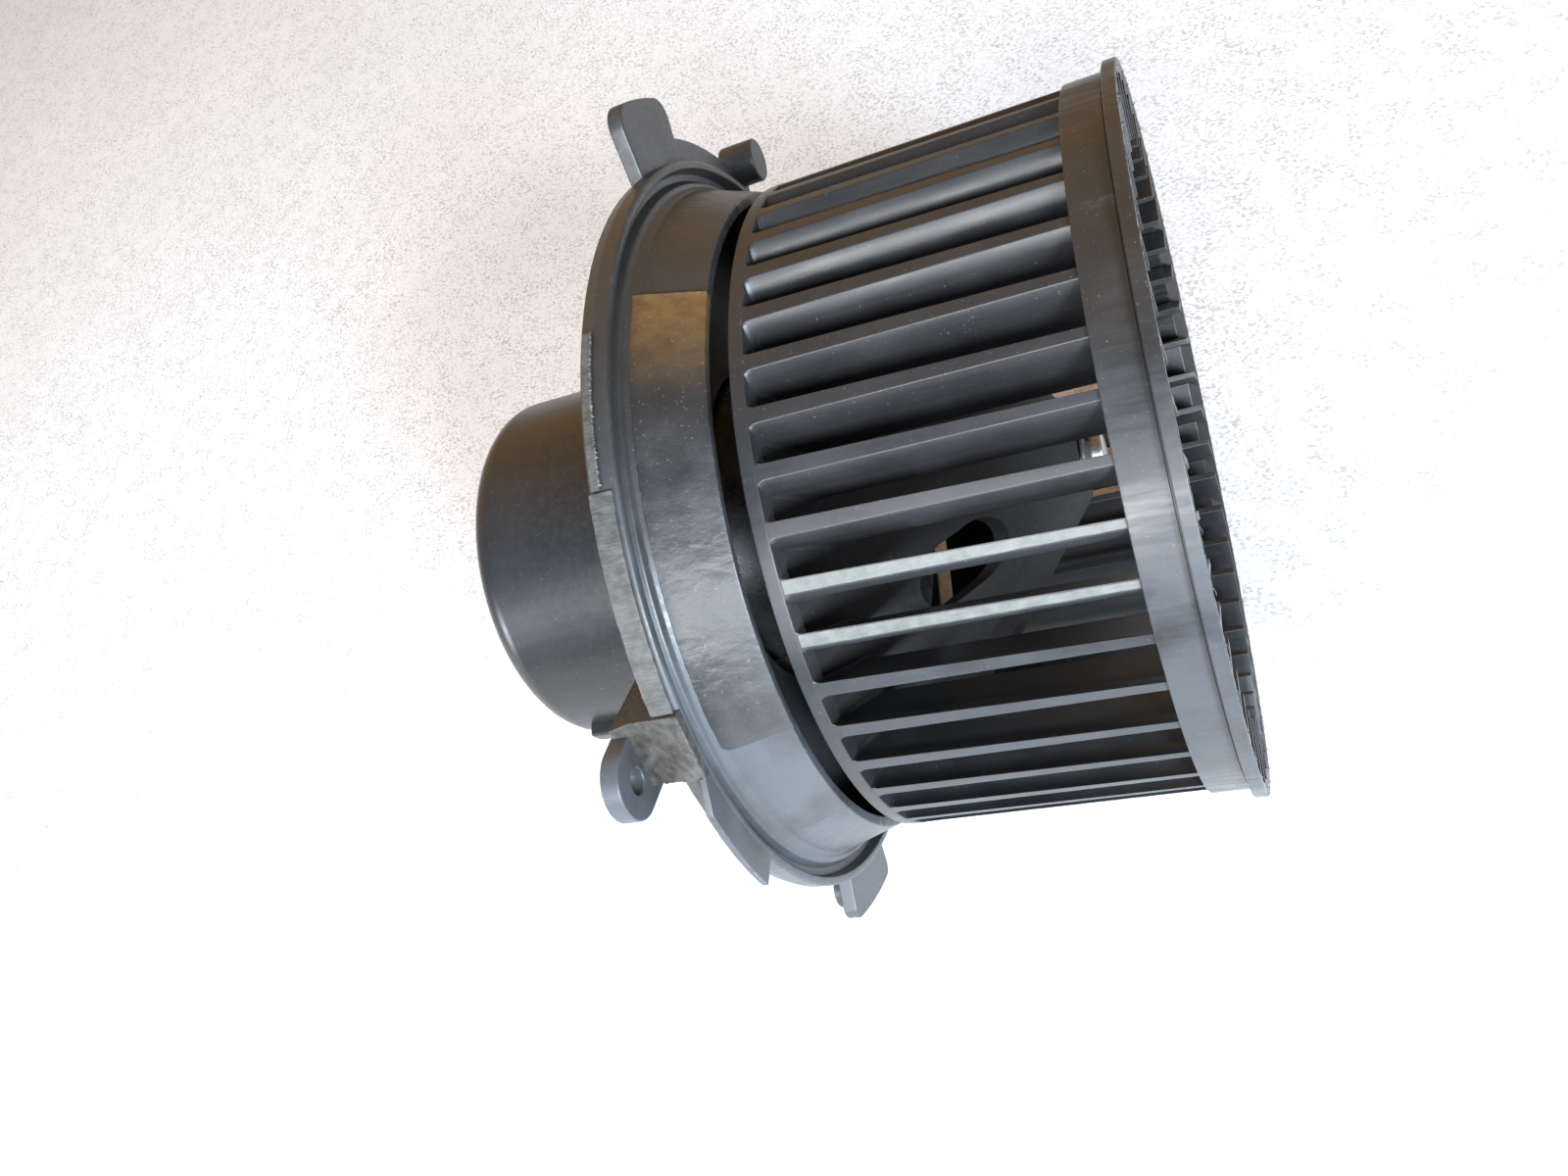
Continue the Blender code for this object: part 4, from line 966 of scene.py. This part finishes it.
def build_bracket():
    """The bracket box behind the plate and the screw ear with its round hole."""
    back = BRACKET_BACK + 0.4
    inside_plate = PLATE_BACK + 1.2
    rim_inner = RIM_RADIUS - 1.2
    front = RIM_FRONT - 0.1
    outline = (
        (back, BRACKET_ROOT),
        (back, BRACKET_TOP),
        (BRACKET_BEND, BRACKET_TOP),
        (front, WING_FOOT),
        (front, rim_inner),
        (inside_plate, rim_inner),
        (inside_plate, BRACKET_ROOT),
    )
    middle = 0.5 * (back + RIM_FRONT)
    edge = 0.3
    half = BRACKET_HALF_WIDTH
    layers = []
    for across, depth in ((-half, edge), (edge - half, 0.0), (half - edge, 0.0), (half, edge)):
        side = inset(rounded(outline, 0.45), depth)
        layers.append([local(r, across + BRACKET_SKEW * (y - middle), BRACKET_ANGLE, y) for y, r in side])
    box = bmesh.new()
    add_layers(box, layers)
    finish_piece("bracket_box", box, bracket_plastic, *ON_FLANGE)
    ear = bmesh.new()
    ear_shape = ear_outline(60.0, EAR_RADIUS, EAR_CENTRE, EAR_RADIUS, EAR_ANGLE)
    add_slab(ear, ear_shape, BRACKET_BACK, BRACKET_BACK + EAR_THICKNESS, 0.45)
    hole = bmesh.new()
    waist = circle_outline(EAR_HOLE_RADIUS, EAR_CENTRE, EAR_ANGLE)
    mouth = circle_outline(EAR_HOLE_RADIUS + 0.6, EAR_CENTRE, EAR_ANGLE)
    front = BRACKET_BACK + EAR_THICKNESS
    steps = (
        (mouth, BRACKET_BACK - 0.1),
        (waist, BRACKET_BACK + 0.5),
        (waist, front - 0.5),
        (mouth, front + 0.1),
    )
    add_layers(hole, [[(x, y, z) for x, z in shape] for shape, y in steps])
    ear = cut(ear, hole)
    finish_piece("screw_ear", ear, flange_plastic, *ON_FLANGE)


def add_fringe(shape, start, end, out, count, seed):
    """Small splinters along a straight edge from start to end, standing out from it."""
    start = Vector(start)
    span = Vector(end) - start
    for i in range(count):
        share = (i + 0.5 + 0.4 * ripple((i * 1.9, seed, 0.0), 1.0)) / count
        size = uneven((i * 1.2, seed, 5.0), 0.15, 0.6)
        along = span.normalized() * 0.7 * span.length / count * size
        lift = Vector(out) * size
        add_sliver(shape, start + span * share, along, lift + 0.5 * along, -0.5 * lift)


def build_edge_flash():
    """Torn flash along the bracket's edges and along the outer edge of the lower wing."""
    flash = bmesh.new()
    front = RIM_FRONT - 0.2
    middle = 0.5 * (BRACKET_BACK + 0.4 + RIM_FRONT)
    corners = []
    for across in (-BRACKET_HALF_WIDTH + 0.2, BRACKET_HALF_WIDTH - 0.2):
        for y, radius in ((BRACKET_BEND + 0.2, BRACKET_TOP - 0.1), (front, WING_FOOT - 0.2)):
            corners.append(local(radius, across + BRACKET_SKEW * (y - middle), BRACKET_ANGLE, y))
    upper_back, upper_front, lower_back, lower_front = corners
    outward = Vector(at(0.3, BRACKET_ANGLE, 0.1))
    for start, end, count, seed in (
        (upper_back, upper_front, 16, 1.0),
        (lower_back, lower_front, 16, 2.0),
        (upper_front, lower_front, 22, 3.0),
    ):
        add_fringe(flash, start, end, outward, count, seed)
    pieces = 60
    for i in range(pieces):
        angle = WING_BEND + 16.0 * DEGREE * i / pieces
        size = uneven((i * 1.4, 9.0, 2.0), 0.2, 0.7)
        foot = at(WING_RADIUS - 0.2, angle, RIM_FRONT - 0.3)
        along = onward(0.3 * size, angle)
        out = Vector(at(0.45 * size, angle, -0.1)) + along
        add_sliver(flash, foot, along, out, Vector(at(-0.2, angle, -0.6)))
    finish_piece("edge_flash", flash, flash_plastic, *ON_FLANGE)


def build_rim_pads():
    """Two raised strips on the rim that were cut and scraped."""
    pad_root = RIM_RADIUS - 0.9
    strips = ((-2.0, -0.2, PAD_START, 20.5), (-2.6, 2.1, 24.3, 28.0))

    def torn(y, radius, angle):
        outer = max(0.0, (radius - RIM_RADIUS) / (PAD_TOP - RIM_RADIUS))
        place = at(radius, angle, y)
        lump = 0.16 * ripple(place, 2.6, 5.0) + 0.07 * ripple(place, 0.9, 6.0)
        return y, radius + outer * lump

    pads = bmesh.new()
    for back, front, start, sweep in strips:
        profile = [(back, pad_root), (back, PAD_TOP), (front, PAD_TOP), (front, pad_root)]
        outline = rounded(profile, 0.3, 2)
        add_ring(pads, outline, round(10 * sweep), start * DEGREE, sweep * DEGREE, torn)
    finish_piece("rim_pads", pads, rim_plastic, *ON_FLANGE)


def build_fibres():
    """Torn fibres along the first strip on the rim and along the collar's front edge."""
    fibres = bmesh.new()
    count = 90
    for i in range(count):
        share = (i + 0.6 * ripple((i * 2.3, 1.0, 4.0), 1.0)) / count
        angle = (PAD_START + 20.0 * share) * DEGREE
        size = uneven((i * 1.3, 3.0, 2.0), 0.15, 0.6, 1.3)
        foot = at(PAD_TOP - 0.1, angle, -0.3)
        along = onward(0.3 * size, angle)
        out = Vector(at(0.2, angle, 0.75 * size)) + along
        add_sliver(fibres, foot, along, out, Vector(at(-0.12, angle, 0.0)))
    collar_count = 200
    for i in range(collar_count):
        angle = FULL_TURN * (i + 0.5 * ripple((i * 1.1, 8.0, 0.0), 1.0)) / collar_count
        size = uneven((i * 0.8, 6.0, 3.0), 0.1, 0.45)
        foot = at(COLLAR_RADIUS - 0.15, angle, COLLAR_FRONT - 0.05)
        along = onward(0.55 * size, angle)
        out = Vector(at(0.08, angle, 0.22 * size))
        add_sliver(fibres, foot, along, out, Vector(at(-0.12, angle, 0.0)))
    finish_piece("flange_fibres", fibres, flash_plastic, *ON_FLANGE)


# Cover, motor and small parts.


def build_cover():
    """The domed cup with its rib and its screw ears."""
    wall = 2.4
    outer_corner = cup_corner(COVER_END, COVER_RADIUS, COVER_CORNER, COVER_CORNER, 16)
    inner_corner = cup_corner(COVER_END, COVER_RADIUS, COVER_CORNER, COVER_CORNER - wall, 6)
    inner = [(COVER_END + wall, 0.0), *reversed(inner_corner), (COVER_FRONT, COVER_RADIUS - wall)]
    outer = [(COVER_FRONT, COVER_RADIUS), *outer_corner, (COVER_END, 0.0)]
    shell = bmesh.new()
    add_turned(shell, inner + outer, 240)
    finish_piece("cover_shell", shell, cover_plastic, *ON_COVER)

    ears = bmesh.new()
    holes = bmesh.new()
    ear_back = COVER_FRONT - 2.8
    for angle in SCREW_ANGLES:
        outline = ear_outline(COVER_RADIUS - 1.2, 6.5, SCREW_CIRCLE, 5.0, angle)
        add_slab(ears, outline, ear_back, COVER_FRONT, 0.4)
        hole = circle_outline(SCREW_HOLE, SCREW_CIRCLE, angle, 32)
        add_slab(holes, hole, ear_back - 1.0, COVER_FRONT + 1.0, 0.1)
    ears = cut(ears, holes)
    finish_piece("cover_ears", ears, cover_plastic, *ON_COVER)

    rib = bmesh.new()
    half = 2.5
    outline = box_outline((COVER_RADIUS - 1.4, COVER_RADIUS + 3.0), (-half, half), RIB_ANGLE)
    add_slab(rib, rounded(outline, 0.9, 4), COVER_END + 8.4, COVER_FRONT - 0.5, 0.8, 4)
    finish_piece("cover_rib", rib, cover_plastic, *ON_COVER)


def build_screws():
    """The three cover screws, each with a cross in its head."""
    for i, angle in enumerate(SCREW_ANGLES):
        node = f"cover_screw_{i + 1}"
        low, high = box(node)
        head = low.y + 2.2
        screw = bmesh.new()
        profile = [
            (low.y, 1.5),
            (low.y + 0.3, 2.7),
            (head - 0.9, 3.4),
            (head, 3.4),
            (head, 1.6),
            (high.y - 0.6, 1.6),
            (high.y, 0.9),
        ]
        centre = at(SCREW_CIRCLE, angle, 0.0)
        add_turned(screw, [(low.y, 0.0), *profile, (high.y, 0.0)], 48, centre)
        cross = bmesh.new()
        reach = 1.7
        half = 0.35
        outline = []
        for quarter in range(4):
            for radial, across in ((reach, -half), (reach, half), (half, half)):
                x, z = flat(radial, across, angle + QUARTER_TURN * quarter)
                outline.append((x + centre[0], z + centre[2]))
        add_prism(cross, outline, low.y - 1.0, low.y + 1.1)
        screw = cut(screw, cross)
        finish_piece(f"cross_screw_{i + 1}", screw, screw_zinc, "housing", "screw_steel", [node])


def build_can():
    """The deep-drawn can with the seat of its rear bearing."""
    wall = 2.8
    seat = BEARING_SEAT
    inner = [
        (can_low.y + 1.8, 0.0),
        (can_low.y + 1.8, seat),
        (can_low.y + 7.0, seat),
        (can_low.y + 7.0, seat + 1.6),
        (can_low.y + wall, seat + 3.0),
        (can_low.y + wall, CAN_RADIUS - wall - 2.0),
        (can_low.y + wall + 2.0, CAN_RADIUS - wall),
        (can_high.y, CAN_RADIUS - wall),
    ]
    corner = 3.0
    outer_corner = cup_corner(can_low.y, CAN_RADIUS, corner, corner, 8)
    can = bmesh.new()
    add_turned(can, [*inner, (can_high.y, CAN_RADIUS), *outer_corner, (can_low.y, 0.0)], 160)
    finish_piece("can_shell", can, zinc_steel, "housing", "can_steel", ["motor_can"])


def build_end_plate():
    """The end plate seen through the cone's windows, with its bearing seat and its bolt holes."""
    seat = BEARING_SEAT
    back = plate_low.y
    front = plate_high.y
    bore = SHAFT_RADIUS + 0.7
    plate = bmesh.new()
    profile = [
        (back, 15.0),
        (back, CAN_RADIUS),
        (back + 2.0, CAN_RADIUS),
        (back + 3.6, CAN_RADIUS - 2.4),
        (back + 4.6, 16.0),
        (front - 2.0, 11.0),
        (front, 9.5),
        (front, bore),
        (front - 1.6, bore),
        (front - 1.6, seat),
        (back + 3.0, seat),
        (back + 2.0, 8.5),
    ]
    add_ring(plate, rounded(profile, 0.9, 4), 160)
    holes = bmesh.new()
    for angle in BOLT_ANGLES:
        hole = circle_outline(2.1, BOLT_CIRCLE, angle, 32)
        add_slab(holes, hole, back - 1.0, back + 8.0, 0.1)
    plate = cut(plate, holes)
    finish_piece("end_plate", plate, zinc_steel, "housing", "can_steel", ["front_end_plate"])


def build_bolts():
    """The two long bolts that hold the end plate on the can, with hexagonal heads."""
    for i, angle in enumerate(BOLT_ANGLES):
        node = f"through_bolt_{i + 1}"
        low, high = box(node)
        centre = at(BOLT_CIRCLE, angle, 0.0)
        head_back = high.y - 2.4
        bolt = bmesh.new()
        stem = [(low.y, 1.4), (low.y + 0.4, 1.8), (head_back + 0.3, 1.8)]
        add_turned(bolt, [(low.y, 0.0), *stem, (head_back + 0.3, 0.0)], 40, centre)
        hexagon = circle_outline(3.3, BOLT_CIRCLE, angle, 6)
        add_slab(bolt, hexagon, head_back, high.y, 0.35)
        finish_piece(f"hex_bolt_{i + 1}", bolt, yellow_zinc, "housing", "bolt_steel", [node])


def build_shaft():
    """The shaft with its chamfers."""
    shaft = bmesh.new()
    edge = 0.6
    profile = [
        (shaft_low.y, 0.0),
        (shaft_low.y, SHAFT_RADIUS - edge),
        (shaft_low.y + edge, SHAFT_RADIUS),
        (shaft_high.y - edge, SHAFT_RADIUS),
        (shaft_high.y, SHAFT_RADIUS - edge),
        (shaft_high.y, 0.0),
    ]
    add_turned(shaft, profile, 96)
    finish_piece("turned_shaft", shaft, bright_steel, "rotor", "shaft_steel", ["shaft"])


def build_clip():
    """The clip with slotted spring fingers in front of the boss."""
    clip = bmesh.new()
    bore = SHAFT_RADIUS + 0.3
    profile = [
        (clip_low.y, bore),
        (clip_low.y, clip_high.x),
        (clip_low.y + 0.7, clip_high.x),
        (clip_low.y + 0.9, clip_high.x - 1.4),
        (clip_high.y, bore + 0.9),
        (clip_high.y, bore),
    ]
    add_ring(clip, rounded(profile, 0.12), 96)
    slots = bmesh.new()
    slot_count = 6
    half = 0.35
    for i in range(slot_count):
        radial = (bore - 0.5, clip_high.x - 1.6)
        outline = box_outline(radial, (-half, half), FULL_TURN * i / slot_count)
        add_prism(slots, outline, clip_low.y - 1.0, clip_high.y + 1.0)
    clip = cut(clip, slots)
    finish_piece("spring_clip", clip, spring_steel, "rotor", "clip_steel", ["shaft_clip"])


NODE_LOOKS = (
    (socket_plastic, ("connector_shell",)),
    (tin, ("terminal_1", "terminal_2")),
    (ferrite, ("magnet_1", "magnet_2")),
    (bronze, ("front_bearing", "rear_bearing")),
    (rubber, ("front_isolator", "rear_isolator")),
    (board, ("brush_card",)),
    (brass, ("brush_tube_1", "brush_tube_2", "hub_insert")),
    (carbon, ("brush_1", "brush_2")),
    (bright_steel, ("brush_spring_1", "brush_spring_2")),
    (core_iron, ("armature_core",)),
    (winding, ("winding_front", "winding_rear")),
    (copper_bar, ("commutator",)),
    (fibre, ("front_washer", "rear_washer")),
)

build_wheel_hub()
build_blades()
build_glare_strips()
build_band()
build_wheel_flash()
build_flange_body()
build_patch()
build_lugs()
build_bracket()
build_edge_flash()
build_rim_pads()
build_fibres()
build_cover()
build_screws()
build_can()
build_end_plate()
build_bolts()
build_shaft()
build_clip()
for material, nodes in NODE_LOOKS:
    for node in nodes:
        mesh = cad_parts[node].data
        mesh.materials.clear()
        mesh.materials.append(material)

# Floor, light and camera.


def floor_look():
    """A pale matt surface with fine pebbly specks."""
    look = Look("floor", 0.7)
    cloud = look.noise(60.0, 3.0)
    pebble = look.scaled(look.noise(0.85, 2.0, (1.0, 1.5, 1.0)), 0.5, 0.6)
    spot = look.math("MULTIPLY", pebble, look.scaled(look.noise(9.0, 3.0), 0.35, 0.6, 0.35, 1.0))
    base = look.shades(cloud, (1.0, 1.0, 1.0), (0.3, 0.73), (0.7, 0.78))
    shade = look.mix(spot, base, (0.47, 0.47, 0.46))
    relief = look.bump(look.noise(1.2, 3.0), 0.12)
    return look.done(shade, None, relief)


def build_floor():
    """A wide table top under the lowest point of the object."""
    shape = bmesh.new()
    half = 3.0
    level = cad_box[0][2]
    signs = ((-1.0, -1.0), (1.0, -1.0), (1.0, 1.0), (-1.0, 1.0))
    shape.faces.new([shape.verts.new((x * half, y * half, level)) for x, y in signs])
    mesh = bpy.data.meshes.new("floor")
    shape.to_mesh(mesh)
    shape.free()
    mesh.materials.append(floor_look())
    floor = bpy.data.objects.new("floor", mesh)
    bpy.context.scene.collection.objects.link(floor)


def look_along(back, up):
    """A rotation whose +Z is the back direction and whose +Y is as near up as it can be."""
    z_axis = Vector(back).normalized()
    x_axis = Vector(up).cross(z_axis).normalized()
    y_axis = z_axis.cross(x_axis)
    return Matrix((x_axis, y_axis, z_axis)).transposed()


def add_lamp(name, direction, distance, width, length, power, colour):
    """A soft lamp in this direction from the object, facing it, longer along the spin axis than across it."""
    lamp = bpy.data.lights.new(name, "AREA")
    lamp.shape = "RECTANGLE"
    lamp.size = width
    lamp.size_y = length
    lamp.energy = power
    lamp.color = colour
    obj = bpy.data.objects.new(name, lamp)
    obj.matrix_world = look_along(direction, (0.0, 1.0, 0.001)).to_4x4()
    obj.location = Vector(direction).normalized() * distance
    bpy.context.scene.collection.objects.link(obj)


def build_camera():
    """Above the wheel's inlet side, turned so that the spin axis runs left to right."""
    data = bpy.data.cameras.new("camera")
    data.sensor_width = 36.0
    data.lens = CAMERA_LENS
    data.shift_x, data.shift_y = CAMERA_SHIFT
    data.clip_start = 0.01
    data.clip_end = 20.0
    camera = bpy.data.objects.new("camera", data)
    camera.matrix_world = look_along(CAMERA_BACK, CAMERA_UP).to_4x4()
    camera.location = CAMERA_PLACE
    bpy.context.scene.collection.objects.link(camera)
    bpy.context.scene.camera = camera


def build_world():
    """A dim room, warm and brighter on the -X side, cool on the +X side, dark beyond the inlet."""
    world = bpy.data.worlds.new("studio")
    world.use_nodes = True
    nodes = Nodes(world.node_tree)
    place = nodes.new("TexCoord").outputs["Generated"]
    colour = (0.1, 0.1, 0.105)
    for direction, low, high, glow in (
        ((-0.8, -0.3, 0.5), -0.25, 0.95, (0.86, 0.5, 0.2)),
        ((0.7, -0.5, 0.5), 0.1, 1.0, (0.5, 0.6, 0.78)),
    ):
        dot = nodes.new("VectorMath")
        dot.operation = "DOT_PRODUCT"
        dot.inputs[1].default_value = direction
        nodes.feed(dot.inputs[0], place)
        share = nodes.scaled(dot.outputs["Value"], low, high)
        share.node.interpolation_type = "SMOOTHSTEP"
        colour = nodes.mix(share, colour, glow)
    background = world.node_tree.nodes["Background"]
    nodes.feed(background.inputs["Color"], colour)
    background.inputs["Strength"].default_value = 1.0
    bpy.context.scene.world = world
    bpy.context.scene.view_settings.view_transform = "Standard"
    bpy.context.scene.view_settings.exposure = 0.0


build_floor()
build_camera()
build_world()
add_lamp("key", (0.78, -0.06, 0.6), 1.2, 0.42, 0.86, 18.0, (0.98, 0.99, 1.0))
add_lamp("inlet_side", (0.7, 0.62, 0.5), 1.05, 0.3, 0.3, 24.0, (0.72, 0.86, 1.0))
add_lamp("motor_side", (0.75, -1.0, 0.3), 1.15, 0.3, 0.3, 7.0, (0.85, 0.94, 1.0))
